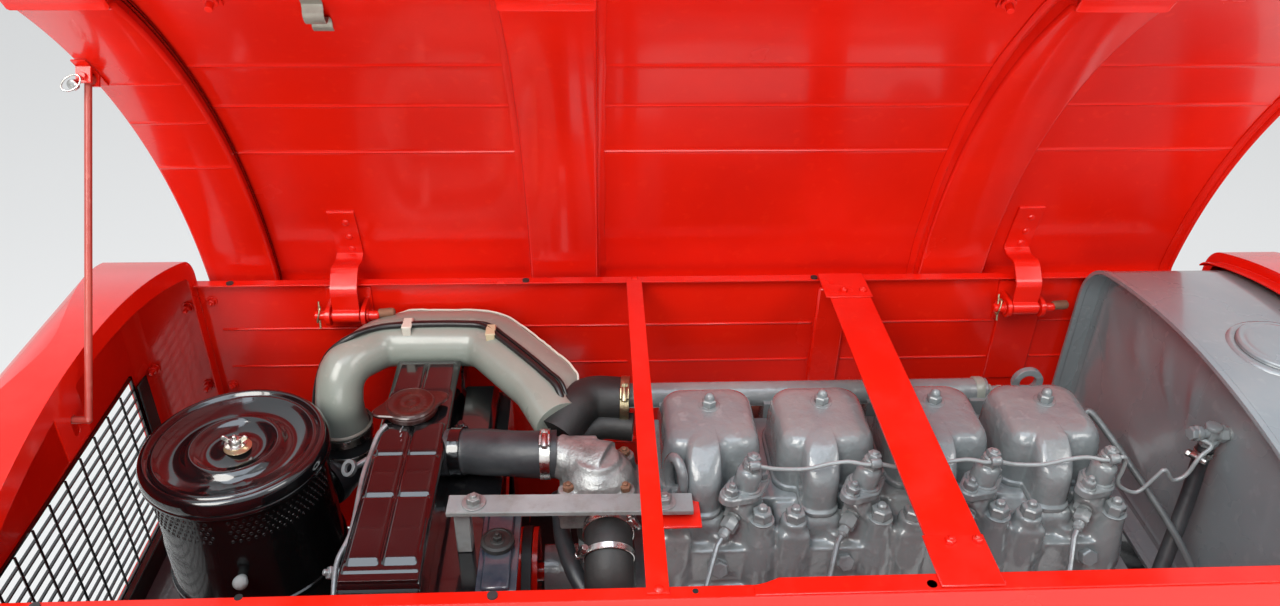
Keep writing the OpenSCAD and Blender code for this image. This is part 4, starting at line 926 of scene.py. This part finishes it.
def buildCleaner():
    x, y, r = cleaner["x"], cleaner["y"], cleaner["body"]
    addPiece("cleanerCover", cleanerCover(), "blackPaint", replaced="air_cleaner_cover", smooth=60)
    outlet = lathe([(33, 0), (33, 116), (34.6, 118), (34.6, 120)])
    body = joined([lathe(cleaner["wall"], 96), placed(outlet, (0, 0, 320), (95, 133, 0), (0, 0, 1))])
    addPiece("cleanerBody", moved(body, x, y, 0), "satinBlack", replaced="air_cleaner_body", smooth=40)
    hole = lathe([(2.7, -0.2), (2.3, 0.55), (1.6, 0.45), (1.3, -0.3)], 9, False, True)
    holes = []
    for row, k in product(range(cleaner["holeRows"]), range(cleaner["holes"])):
        if k % 19 > 1:      # plain strips part the holes into four fields
            a = 2 * pi * (k + 0.5 * (row % 2)) / cleaner["holes"]
            at = (x + r * cos(a), y + r * sin(a), cleaner["holeZ"] - row * cleaner["holeStep"])
            holes.append(placed(hole, at, (cos(a), sin(a), 0), (0, 0, 1)))
    addPiece("cleanerHoles", holes, "satinBlack")
    hub = [lathe([(13.5, 0), (13.5, 1.2), (9, 1.6)], 28),
           lathe([(8, 1.4), (7.6, 6), (5.6, 8.2), (3, 8.6), (3, 12), (2, 13)], 24)]
    for s in (1, -1):
        wing = hullOutline([(s * 6, 3.5, 3), (s * 13, 9.5, 3.4)], 28)
        hub.append(upright(plate(wing, -1.3, 1.3, 0.5)))
    addPiece("wingNut", moved(joined(hub), x + 1, y + 2, 466.8), "zincPlate")
    addPiece("wingWasher", moved(washer(17, 1.0), x + 5, y - 3, 466), "yellowZinc")
    bowlBolt = lathe([(6, -10), (6, 4), (8.5, 5), (9, 10), (7, 14), (3, 16)], 20)
    addPiece("bowlBolt", placed(bowlBolt, (-1392, -84, 350), (0.2, -0.8, 0.45)), "bareAlloy")


# The air duct with its sleeves, clamps and cable
duct = {
    "path": [[-1316, 163, 384], [-1316, 163, 426], [-1313, 188, 474], [-1262, 240, 474], [-1122, 237, 474],
             [-1040, 130, 472], [-1008, 66, 464]],
    "radius": 33.0, "bend": 44.0, "sides": 44, "collar": (36.4, 36.2, 35.2, 33.8),
    # the pressed flange on the outer side: angle round the pipe, reach and rise from its axis
    "flangeTurn": (-30, -20, -8, 0, 5, 10, 16, 24, 36, 50, 64, 78, 90, 100),
    "flangeReach": (28.6, 32, 36, 41, 47, 50, 49, 45, 37, 27, 17, 8, 0, -5.7),
    "flangeRise": (-16.5, -6, 6, 15, 19, 21.5, 24, 26.5, 30, 32.6, 34.2, 34.4, 33.4, 32.5),
    "sleeve": [(-1343.5, 124, 320), (-1316, 163, 320), (-1316, 163, 386)],
    "elbow": [(-1012, 56, 452), (-990, 88, 468), (-972, 112, 470), (-917, 108, 468)],
    "lowHose": [(-1002, 20, 424), (-985, 70, 432), (-955, 88, 440), (-912, 84, 440)],
}


def ductSection(share):
    # from a round pipe (share 0) to the full flange (share 1)
    turns, points = duct["flangeTurn"], []
    for a in -120 + 360 * np.arange(duct["sides"]) / duct["sides"]:
        c, t = duct["radius"] * cos(radians(a)), duct["radius"] * sin(radians(a))
        if turns[0] < a < turns[-1]:
            c += share * (np.interp(a, turns, duct["flangeReach"]) - c)
            t += share * (np.interp(a, turns, duct["flangeRise"]) - t)
        points.append((c, t))
    return points


def buildDuct():
    path = resampled(roundedPath(duct["path"], duct["bend"], 10), 7)
    tangents = [unit(t) for t in np.gradient(path, axis=0)]
    start = next(i for i, p in enumerate(path) if p[2] > 470)
    across = unit(np.cross((0, 0, 1), tangents[start]))
    points, rimGlint = [], []
    for i, (p, t) in enumerate(zip(path, tangents)):
        if i >= start:
            across = unit(np.cross((0, 0, 1), t))
        over = np.cross(t, across)
        share = min(1, max(0, (i - start - 3) / 9), max(0, (len(path) - 3 - i) / 5))
        grow = duct["collar"][i] / duct["radius"] if i < len(duct["collar"]) else 1
        points += [p + (across * c + over * h) * grow for c, h in ductSection(share)]
        if share > 0.15:
            rimGlint.append(p + across * (33 + 16.6 * share) + over * (22 * share + 3))
    skin = np.array(points), ringFaces(len(path), duct["sides"])
    addPiece("airDuct", skin, "pipePaint", replaced="air_pipe", smooth=50)
    # a pale thin tube along the flange's edge: a painted highlight, not a part
    wave = np.random.RandomState(3).uniform(-0.5, 0.5, (len(rimGlint), 3))
    addPiece("ductRim", tube(resampled(smoothPath(np.array(rimGlint) + wave, 2), 5), 1.5, 8), "whiteClip")
    sleeve = resampled(roundedPath(duct["sleeve"], 42, 10), 5)
    radii = [38.6 if i < 3 or i > len(sleeve) - 4 else 37 for i in range(len(sleeve))]
    addPiece("cleanerSleeve", tube(sleeve, radii, 32), "greyRubber", replaced="air_elbow")
    addPiece("sleeveClamps", [wormClamp((-1316, 163, 382), (0, 0, 1), 38.8, 13, 235),
                              wormClamp((-1317, 161, 352), (0.05, 0.06, 1), 37.6, 9, 238)], "zincPlate")
    bead = openLathe([(38, -8), (40, -7), (41.2, -5), (40, -3), (38.6, -2)], 40)
    addPiece("sleeveBead", moved(bead, -1316, 163, 398), "clampDull")
    elbow = resampled(roundedPath(duct["elbow"], [0, 26, 34, 0], 10), 5)
    addPiece("manifoldElbow", tube(elbow, 29.5, 30), "blackRubber", replaced="manifold_elbow")
    addPiece("elbowClamp", wormClamp((-922, 108, 468), (1, -0.07, 0), 30.2, 12, 40), "yellowZinc")
    addPiece("lowHose", tube(smoothPath(duct["lowHose"], 8), 19, 24), "blackRubber")


cable = {
    "run": [(-1294, 206), (-1265, 226), (-1232, 232), (-1190, 233), (-1150, 232), (-1118, 226), (-1092, 197),
            (-1061, 158), (-1030, 118), (-1010, 90)],
    "before": [(-1352, 150, 330), (-1356, 172, 392), (-1350, 186, 440), (-1330, 196, 486)],
    "after": [(-1000, 62, 476), (-994, 34, 446)],
    "radius": 4.4, "thinRadius": 2.6,
    "clips": (("clipWhite", -1224, 232, "whiteClip"), ("clipYellow", -1106, 212, "clipYellow")),
}


def overDuct(x, y, lift):
    # a point above the duct's skin
    path = resampled(roundedPath(duct["path"], duct["bend"], 10), 4)
    d = np.hypot(path[:, 0] - x, path[:, 1] - y)
    i = int(np.argmin(d))
    return path[i][2] + sqrt(duct["radius"] ** 2 - min(d[i], duct["radius"]) ** 2) + lift


def buildCable():
    run = cable["run"]
    main = cable["before"] + [(x, y, overDuct(x, y, 3.5)) for x, y in run] + cable["after"]
    second = [(x + 7, y + 5, overDuct(x, y, 3.4)) for x, y in run[4:]] + [(-990, 60, 462)]
    flat = [(x + 2, y + 8, overDuct(x, y, 2.2)) for x, y in run[1:8]]
    addPiece("cable", tube(resampled(smoothPath(main, 6), 5), cable["radius"], 14), "cableSkin")
    addPiece("cableThin", tube(resampled(smoothPath(second, 6), 5), cable["thinRadius"], 12), "cableSkin")
    addPiece("cableTape", ribbon(resampled(smoothPath(flat, 6), 6), 7, 1.6, (0.1, 1, 0)), "greyRubber")
    for name, x, y, finish in cable["clips"]:
        z = overDuct(x, y, 0)
        addPiece(name, [block((x - 7, x + 7), (y - 13, y + 13), (z + 4, z + 8), 1.4),
                        block((x - 6, x + 6), (y - 13, y - 9), (z - 8, z + 6)),
                        block((x - 6, x + 6), (y + 9, y + 13), (z - 6, z + 6))], finish)


# Radiator, cap and overflow pipe
radiator = {
    "x": (-1236.0, -1150.0), "y": (-201.0, 201.0), "top": 470.4, "lip": 15.0,
    "pad": 4.0, "soft": 3.2, "lead": 8.0,       # the pressed pads' height and slopes
    "columns": ((-1229, -1198), (-1190, -1157)), "rows": ((-172, -79), (-69, -6), (4, 56), (128, 188)),
    "cap": (-1200.0, 84.0), "capTurn": 203.0, "capRadius": 33, "capEar": 17,
    "capTop": ((31, 0), (30, 2.2), (28, 2.8), (25, 1.4), (17, 1.2), (14.5, 2.8), (12, 3), (9.5, 1.6),
               (6, 1.6), (4, 2.8), (0.4, 3)),
    "neck": ((36, 0), (34, 1.5), (29, 3), (28.6, 7), (31, 8.5), (31, 10)),
    "overflow": ((-1226, 50, 478), (-1234, 36, 474), (-1239, 8, 467), (-1241, -37, 466), (-1237, -120, 464),
                 (-1245, -160, 458), (-1243, -196, 446), (-1243, -206, 420), (-1243, -207, 330)),
    "boxes": (((-1149, -1098), (62, 199), (408, 431), 7), ((-1238, -1148), (202, 262), (330, 428), 5),
              ((-1238, -1150), (206, 258), (428, 434), 2), ((-1236, -1152), (212, 217), (434, 437), 1),
              ((-1236, -1152), (224, 229), (434, 437), 1), ((-1236, -1152), (236, 241), (434, 437), 1),
              ((-1236, -1152), (248, 253), (434, 437), 1), ((-1150.5, -1146), (-198, 198), (384, 392), 1),
              ((-1240, -1236), (-198, 198), (384, 392), 1)),
}


def ramp(v, low, high, soft, lead=0.0):
    # 1 between low and high, falling to 0 over the soft width on both sides, or over lead on the low side
    t = min(1, max(0, min((v - low) / (lead or soft) + 1, (high - v) / soft + 1)))
    return t * t * (3 - 2 * t) if not lead or v > low + lead else t


def edgedSteps(low, high, count):
    # even steps with finer ones at both ends
    ends = (-0.4, 0, 1, 3)
    middle = np.linspace(low + 5, high - 5, count)
    return [*(low + e for e in ends), *middle, *(high - e for e in ends[::-1])]


def headerTop():
    (x0, x1), (y0, y1), soft = radiator["x"], radiator["y"], radiator["soft"]
    rows = []
    for y in edgedSteps(y0, y1, 170):
        row = []
        for x in edgedSteps(x0, x1, 42):
            edge = min(x - x0, x1 - x, y - y0, y1 - y)
            z = radiator["top"] - (0 if edge > 3 else (3 - max(edge, 0)) ** 2 * 0.35) - (7 if edge < 0 else 0)
            z -= max(0, y0 + radiator["lip"] - y) * 0.36
            for column, span in product(radiator["columns"], radiator["rows"]):
                z += radiator["pad"] * ramp(x, *column, soft) * ramp(y, *span, soft, radiator["lead"])
            row.append((x, y, z))
        rows.append(row)
    points, faces = grid(rows)
    return points, [f[::-1] for f in faces]


def buildRadiator():
    addPiece("headerPanels", headerTop(), "blackPaint", smooth=60, thick=1.0)
    cx, cy = radiator["cap"]
    turn, outline = radians(radiator["capTurn"]), []
    for a in np.arange(96) * 2 * pi / 96:
        r = radiator["capRadius"] + radiator["capEar"] * sum(max(0, s * cos(a - turn)) ** 16 for s in (1, -1))
        outline.append((r * cos(a), r * sin(a)))
    cap = [moved(plate(outline, 0, 6, 1.6), 0, 0, 480),
           moved(lathe([(34, 0), (34.6, 1), (34, 6)], 48), 0, 0, 476),
           moved(lathe(radiator["capTop"], 48), 0, 0, 485.6)]
    addPiece("radiatorCap", moved(joined(cap), cx, cy, 0), "capPaint", replaced="radiator_cap")
    addPiece("fillerNeck", moved(lathe(radiator["neck"], 48), cx, cy, 468.8), "blackPaint")
    links = []
    for i in range(6):
        v = (0.3, 0.2, 1) if i % 2 else (0.8, 0.1, 0.4)
        at = (cx - 8 + i * 0.8, cy - 36 - i * 5.0, 474 - 0.4 * i)
        links.append(ringTube(at, (0.1, 1, -0.1), v, 4.6, 2.9, 0.9, 8, 18))
    addPiece("capChain", links, "bareSteel")
    addPiece("overflowPipe", tube(smoothPath(radiator["overflow"], 8), 3.0, 12), "bareSteel")
    addPiece("headerBolt", [placed(boltHead(13, 8, 9, stud=5), (-1246, -168, 448), (-0.8, -0.3, 0.5)),
                            placed(washer(11, 5, 6.2), (-1268, 12, 440), (-0.5, -0.5, 0.7)),
                            tube([(-1266, 16, 437), (-1236, 44, 440)], 4, 10)], "bareSteel")
    fins = [block((-1225, -1161), (-189.4, 189.4), (z, z + 2.2), 0.3) for z in range(96, 388, 9)]
    fins += [block((-1226, -1160), (y - 2, y + 2), (91, 389), 0.8) for y in range(-180, 181, 24)]
    addPiece("coreFins", fins, "blackPaint")
    addPiece("sideBoxes", [block(*box) for box in radiator["boxes"]], "blackPaint")


# Thermostat housing, water hoses, stay bar and lower sheets, the near-black ones a painted shade
cooling = {
    "dome": (-958.0, -24.0),
    "domeProfile": ((46, -6), (46, 4), (44.5, 14), (40, 26), (32, 35), (20, 41), (6, 43.5), (1, 43.7)),
    "bosses": ((-995, -50), (-927, -52), (-926, 12)), "bossZ": 432, "boltZ": 455,
    "hose": [(-1150, 36, 443), (-1118, 32, 447), (-1076, 14, 459), (-1042, 6, 463), (-1010, 6, 463)],
    "hoseRadius": 29.0,
    "washer": ((19, 0), (20, 2), (19.4, 6), (16, 7.4), (15, 6.2), (9, 6.2), (8, 7.4), (6, 7.6)),
    "sleeve": ((-948, -92, 436), (-948, -158, 436), (-948, -158, 300)),
    "heater": ((-1012, 30, 366), (-1009, 12, 376), (-1003, -59, 384), (-988, -112, 380), (-962, -150, 350),
               (-958, -160, 300)),
    # near-black sheets low in the bay and behind the grille: painted shade standing in for the dark depths
    "trays": (((-1150, -1074), (-292, 292), (84, 86.5)), ((-1074, -916), (80, 292), (84, 86.5)),
              ((-1074, -916), (-292, -212), (84, 86.5)), ((-1640, -1240), (-292, 292), (60, 62.5)),
              ((-1637.5, -1635), (-262, 262), (60, 148)), ((-316, -234), (-292, 292), (245, 247.5))),
    "skirt": [(-1531, 86), (-930, 86), (-905, 96), (-880, 130), (-862, 180), (-856, 250), (-1531, 250)],
}


def buildCooling():
    dx, dy = cooling["dome"]
    neck = lathe([(27, 0), (28, 20), (34, 44), (38, 66)], 32)
    boss = lathe([(17, 0), (14, 10), (12.5, 24)], 24)
    raised = [moved(lathe(cooling["domeProfile"], 40), dx, dy, 439),
              placed(neck, (-1012, 6, 462), (1, -0.42, -0.1), (0, 0, 1)),
              block((-1007, -913), (-73, 29), (424, 441), 4)]
    raised += [moved(boss, x, y, cooling["bossZ"]) for x, y in cooling["bosses"]]
    castCopy("thermostatCasting", "thermostat_housing", "castAlloy", 1.8, 4, 1.3, raised)
    places = [(x, y, cooling["boltZ"]) for x, y in cooling["bosses"]]
    addPiece("thermostatBolts", bolts(places, 13, 8, 0, 3), "rustySteel")
    hose = resampled(smoothPath(cooling["hose"], 8), 5)
    radii = [cooling["hoseRadius"] + (1.0 if i < 5 or i > len(hose) - 6 else -0.4 * sin(i * 0.45))
             for i in range(len(hose))]
    addPiece("topHose", tube(hose, radii, 36), "greyRubber", replaced="top_hose")
    addPiece("hoseClampBlack", wormClamp((-1136, 35, 445), (1, -0.1, 0.1), 30.4, 15, -70), "blackPaint")
    addPiece("hoseClampSilver", wormClamp((-1024, 6, 463), (1, 0, 0), 30.4, 13, 20), "zincPlate")
    bar = placed(block((-16, 264), (-15, 15), (0, 6.4), 0.8), (-1115, -100, 476.3), (0, 0, 1), (0.0163, 1, 0))
    post = block((-1124, -1106), (-109, -91), (414, 477), 1.5)
    addPiece("stayBar", [bar, post], "bareAlloy", replaced="stay_bar")
    addPiece("stayBolts", bolts([(-1101, -99, 482.6), (-884, -104, 482.6)], 15, 8, 14, 3), "castAlloy")
    # the channel's blue-black is a painted sky reflection on black paint
    addPiece("shroudChannel", [block((-1098, -1052), (-172, -46), (414.6, 418), 1),
                               block((-1092, -1060), (-172, -50), (418, 423), 2.4)], "blueBlack")
    addPiece("channelWasher", [moved(lathe(cooling["washer"], 40), -1077, -104, 423),
                               moved(boltHead(10, 6, 0, 4), -1077, -104, 430)], "blackRubber")
    neck = lathe([(25.5, 0), (25.5, 22), (28.6, 24), (28.6, 30), (25, 31)], 36)
    addPiece("bypassNeck", placed(neck, (-948, -68, 436), (0, -1, 0)), "castDark")
    sleeve = resampled(roundedPath(cooling["sleeve"], 34, 10), 6)
    radii = [29 if i < 3 else 28 for i in range(len(sleeve))]
    addPiece("bypassSleeve", tube(sleeve, radii, 36), "blackRubber")
    addPiece("sleeveBands", [wormClamp((-948, -103, 436), (0, 1, 0), 29, 9, 62),
                             wormClamp((-948, -139, 434), (0, 1, 0.3), 28.4, 8, -66)], "zincPlate")
    addPiece("heaterHose", tube(smoothPath(cooling["heater"], 8), 11, 20), "greyRubber")
    # the near-black sheets are painted shade in the bay's depths
    addPiece("bayTrays", [block(*spans, 0.6) for spans in cooling["trays"]], "trayDark")
    # the side panels reach down to the near-black shade sheets beside the radiator
    sheet = plate(cooling["skirt"], 286, 288.5, 0.6)
    for name, side in (("farSkirt", 1), ("nearSkirt", -1)):
        foot = block((-1531, -930), sorted((side * 272, side * 288)), (84.4, 86.4), 0.6)
        addPiece(name, [upright(sheet, side), foot], "redPaint")


# The fuel tank's front, cap, tap and pipes
tank = {
    "face": -210.7, "half": 284.0, "corner": 70.0, "shoulderZ": 515.0, "top": 610.0, "low": 302.0,
    "middle": 445.0,
    "cap": (-135.0, 0.0, 611.0), "seam": 0.915, "seamHeight": 2.5,
    # dents and folds: place, turn, length, width, height
    "creases": ((214, 470, 0.5, 70, 9, 5), (150, 505, 0.35, 48, 10, 5), (82, 520, 0.3, 44, 9, 4.5),
                (16, 528, 0.3, 40, 9, 4), (246, 398, -0.9, 40, 10, 5), (-60, 500, 0.4, 60, 16, 3),
                (60, 380, 1.2, 120, 30, 4)),
    # share of the outline's size, from the middle out
    "rings": (0.02, 0.1, 0.2, 0.3, 0.4, 0.48, 0.55, 0.62, 0.68, 0.74, 0.79, 0.83, 0.86, 0.885, 0.90, 0.915,
              0.93, 0.945, 0.96, 0.98, 0.992),
    "capProfile": ((50, 0), (52.4, 0.4), (53.3, 1.6), (52.4, 2.8), (53.2, 4), (53, 5.4), (51.6, 6.6),
                   (48.4, 7.2), (45.6, 6.8), (44, 7.4), (40, 8.4), (24, 8.8), (0.4, 9)),
    "hose": ((-232, -60, 518), (-233, -61, 490), (-240, -74, 450), (-262, -104, 380), (-290, -140, 300),
             (-298, -150, 249)),
    "drain": ((-350, 12, 508), (-333, 0, 504), (-262, -112, 412), (-236, -160, 340), (-236, -164, 247)),
}


def tankOutline(steps=14):
    half, corner, low = tank["half"], tank["corner"], tank["low"]
    a, drop = half - corner, tank["top"] - tank["shoulderZ"]
    r = (a * a + drop * drop - corner ** 2) / (2 * (drop - corner))
    reach = atan2(a, tank["shoulderZ"] - tank["top"] + r)
    right = [(half, z) for z in np.linspace(low, tank["shoulderZ"], 9)[:-1]]
    right += [(a + corner * cos(t), tank["shoulderZ"] + corner * sin(t))
              for t in np.linspace(0, pi / 2 - reach, steps)]
    right += [(r * sin(t), tank["top"] - r + r * cos(t)) for t in np.linspace(reach, 0, 18)[1:]]
    left = [(-y, z) for y, z in right[::-1][1:]]
    return right + left + [(y, low) for y in np.linspace(-half, half, 22)[1:-1]]


def buildTank():
    outline = np.array(tankOutline())
    middle, points = np.array([0, tank["middle"]]), []
    for share in tank["rings"]:
        for y, z in middle + (outline - middle) * share:
            out = tank["seamHeight"] * exp(-((share - tank["seam"]) / 0.014) ** 2)
            for cy, cz, turn, long, wide, high in tank["creases"]:
                u = (y - cy) * sin(turn) + (z - cz) * cos(turn)
                v = (y - cy) * cos(turn) - (z - cz) * sin(turn)
                out += high * exp(-(u / long * 1.6) ** 2 - (v / wide) ** 2) * (share < 0.9)
            points.append((tank["face"] - out, y, z))
    face = np.array(points), ringFaces(len(tank["rings"]), len(outline), True, False)
    addPiece("tankFace", face, "tankPaint", smooth=60)
    cap = moved(lathe(tank["capProfile"], 96), *tank["cap"])
    addPiece("tankCap", cap, "tankPaint", replaced="tank_cap", smooth=60)
    ring = openLathe([(63, -2), (61.6, 0.4), (58, 1.2), (54, 1.2)], 96)
    addPiece("capRing", moved(ring, *tank["cap"]), "tankPaint", smooth=60)
    stem = lathe([(9, -20), (9, -6), (8, -4), (8, 8), (9.6, 9), (9.6, 13), (6, 14)], 24)
    outward = (-1, -0.1, 0.1)
    addPiece("fuelTapBody", [
        moved(stem, -232, -60, 532), moved(hexNut(21, 9), -232, -60, 517),
        placed(lathe([(8, 0), (8, 20), (10, 21), (10, 26)], 24), (-232, -60, 532), (1, 0, 0)),
        placed(hexNut(19, 10), (-224, -60, 532), (1, 0, 0)),
        placed(lathe([(6, 0), (6, 9), (9.4, 10), (9.4, 16), (7, 17)], 20), (-238, -61, 534), outward),
        placed(hexNut(15, 8), (-254, -62.6, 535.6), outward)], "greyPaint", replaced="fuel_tap")
    hose = tube(resampled(smoothPath(tank["hose"], 8), 6), 9.6, 20)
    addPiece("fuelHose", hose, "greyRubber", replaced="fuel_hose")
    addPiece("fuelClamp", wormClamp((-232.4, -60.4, 504), (0, 0, 1), 10, 8, 215), "zincPlate")
    addPiece("drainPipe", tube(smoothPath(tank["drain"], 10), 4.4, 16), "drainGrey")


# Rails, panels, strap rivets, hinge ends and clips
trim = {
    "strapX": (-1316.0, -327.0), "farY": 297.8, "lineY": 297.6, "lineZ": (463, 396),
    "step": [(-812, -287), (-800, -284), (-786, -278), (-58, -278), (-58, -299), (-812, -299)],
    "lines": ((-1508, -912), (-896, -634), (-582, -352), (-284, -76)),
    "braceBolts": ((-607, -240, 550), (-579, -239, 550), (-607, 246, 549.4), (-579, 246, 549.4)),
    "rivets": ((-601, -290, 547), (-586, -289, 547), (-573, -291, 547), (-903, 290, 548), (-903, -290, 548)),
    "noseBolts": ((-1626, 301, 392), (-1552, 301, 360), (-1552, 301, 500)),
    "panelBolts": ((-1514, 512), (-1514, 362), (-72, 500), (-72, 330)),
    # the clip inside the lid, across it: Y and depth under the skin
    "clip": ((-262, 2.2), (-246, 3.5), (-240, 14), (-228, 16), (-222, 6), (-212, 4), (-206, 9), (-200, 9)),
}


def buildTrim():
    addPiece("railStep", [plate(trim["step"], 545.2, 547, 0.5),
                          block((-633, -570), (-297, -230), (548.2, 550.2), 0.7),
                          block((-635, -568), (230, 296), (548.2, 549.6), 0.7),
                          block((-631, -586), (289, 298), (262, 528), 3),
                          block((-350, -286), (293.6, 298), (356, 486), 1.4)], "redPaint")
    addPiece("braceBolts", bolts(trim["braceBolts"], 10, 5, 0, 2), "redPaint")
    addPiece("railRivets", [moved(rivet(5, 2.4), *p) for p in trim["rivets"]], "redPaint")
    # thin near-black disks stand for holes in the rail: painted shade, no opening is cut
    addPiece("railHole", [moved(lathe([(4, 0), (4, 0.25)], 18), -1297, -285, 545),
                          moved(lathe([(3, 0), (3, 0.25)], 18), -868, -291, 545)], "holeDark")
    addPiece("noseBolts", bolts(trim["noseBolts"], 12, 6, 9, stud=9, axis=(0, -1, 0)), "redPaint")
    places = [(x, trim["farY"], z) for x, z in trim["panelBolts"]]
    places += [(x + d, 293.9, 492) for x in trim["strapX"] for d in (-26, 26)]
    addPiece("panelBolts", bolts(places, 10, 5, 8, stud=4, axis=(0, -1, 0)), "redPaint")
    y = trim["lineY"]
    lines = [tube([(a, y, z), (b, y, z)], 1.7, 8) for z in trim["lineZ"] for a, b in trim["lines"]]
    addPiece("panelLines", lines, "redPaint")
    rivets, ends, pegs, wires = [], [], [], []
    end = lathe([(6, 29), (9.6, 29.2), (9.6, 31), (6.6, 31.4), (6.6, 44), (5, 46)], 20)
    peg = lathe([(5, 44), (6.6, 46), (7, 60), (6.4, 66), (4, 68)], 18)
    for x in trim["strapX"]:
        for y in (238, 216, 190):
            t = asin(y / crownRadius)
            py, pz = archPoint(t, 6.2)
            at = openLid([x + 4, py, pz])
            inward = openLid([x + 4, py - sin(t), pz - cos(t)]) - at
            rivets.append(placed(rivet(5.4, 2.6), at, inward, (1, 0, 0)))
        hinge = (x, lid["hingeY"], lid["hingeZ"])
        ends += [placed(end, hinge, (s, 0, 0)) for s in (1, -1)]
        pegs.append(placed(peg, hinge, (1, 0.06, 0.03)))
        wires += [ringTube((x - 39, 266, 507), (0.25, 0.3, 1), (0.1, -1, 0.3), 12, 5, 1.2, 8, 24),
                  tube([(x - 39, 262, 486), (x - 39, 274, 524)], 1.5, 8)]
    addPiece("strapRivets", rivets, "redPaint", "lid")
    addPiece("hingeEnds", ends, "redPaint")
    addPiece("hingePegs", pegs, "rustySteel")
    addPiece("hingeClips", wires, "yellowZinc")
    pin = placed(lathe([(5, 0), (6.4, 1), (6.4, 5), (4, 6.4)], 16), (-1524, 126, 898), (-0.2, -1, 0))
    ring = ringTube((-1524, 118, 902), (1, 0.2, 0.3), (0, 0.6, 1), 11, 8, 1.2, 8, 24)
    addPiece("propClip", [ring, pin], "zincPlate", "lid")
    clip = smoothPath([(-1246, *archPoint(asin(y / crownRadius), depth)) for y, depth in trim["clip"]], 3)
    addPiece("lidClip", openForm(ribbon(clip, 22, 1.4, (1, 0, 0))), "clampDull", "lid")


grille = {"x": -1642, "halfWidth": 262, "low": 155, "high": 400, "bars": 14, "rods": 12}


def buildGrille():
    bars, rods, half = grille["bars"], grille["rods"], grille["halfWidth"]
    lattice = []
    for k in range(1, bars):
        z = grille["high"] - (grille["high"] - grille["low"]) * k / bars
        lattice.append(block((-1646.6, -1642.4), (-261.6, 261.6), (z - 1.3, z + 1.3), 0.4))
    for k in range(1, rods):
        y = -half + 2 * half * k / rods
        lattice.append(tube([(grille["x"], y, 155.5), (grille["x"], y, 399.5)], 1.8, 8))
    lattice += [block((-1647, -1643), (-266, 266), (z, z + 5), 0.5) for z in (151, 399)]
    lattice += [block((-1647, -1643), (y, y + 5), (151, 404), 0.5) for y in (-266, 261)]
    addPiece("grilleLattice", lattice, "blackPaint", replaced="grille")
    addPiece("grilleBaffle", block((-1641, -1638), (266, 300), (262, 384), 0.8), "blackRubber")


stages = {
    "lid": (buildLidPanel, buildLidRibs),
    "engine": (buildHeads, buildEngineTop, buildLeakLine, buildLifting),
    "air cleaner and duct": (buildCleaner, buildDuct, buildCable),
    "radiator and cooling": (buildRadiator, buildCooling),
    "fuel tank": (buildTank,),
    "panels and grille": (buildTrim, buildGrille),
}

print("camera, light and materials")
dressNodes()
addCamera(cameraSetup)
addWorld(lightSetup)
addLamps(lightSetup)
addFloor(lightSetup)
for stage, builders in stages.items():
    print(stage)
    for build in builders:
        build()
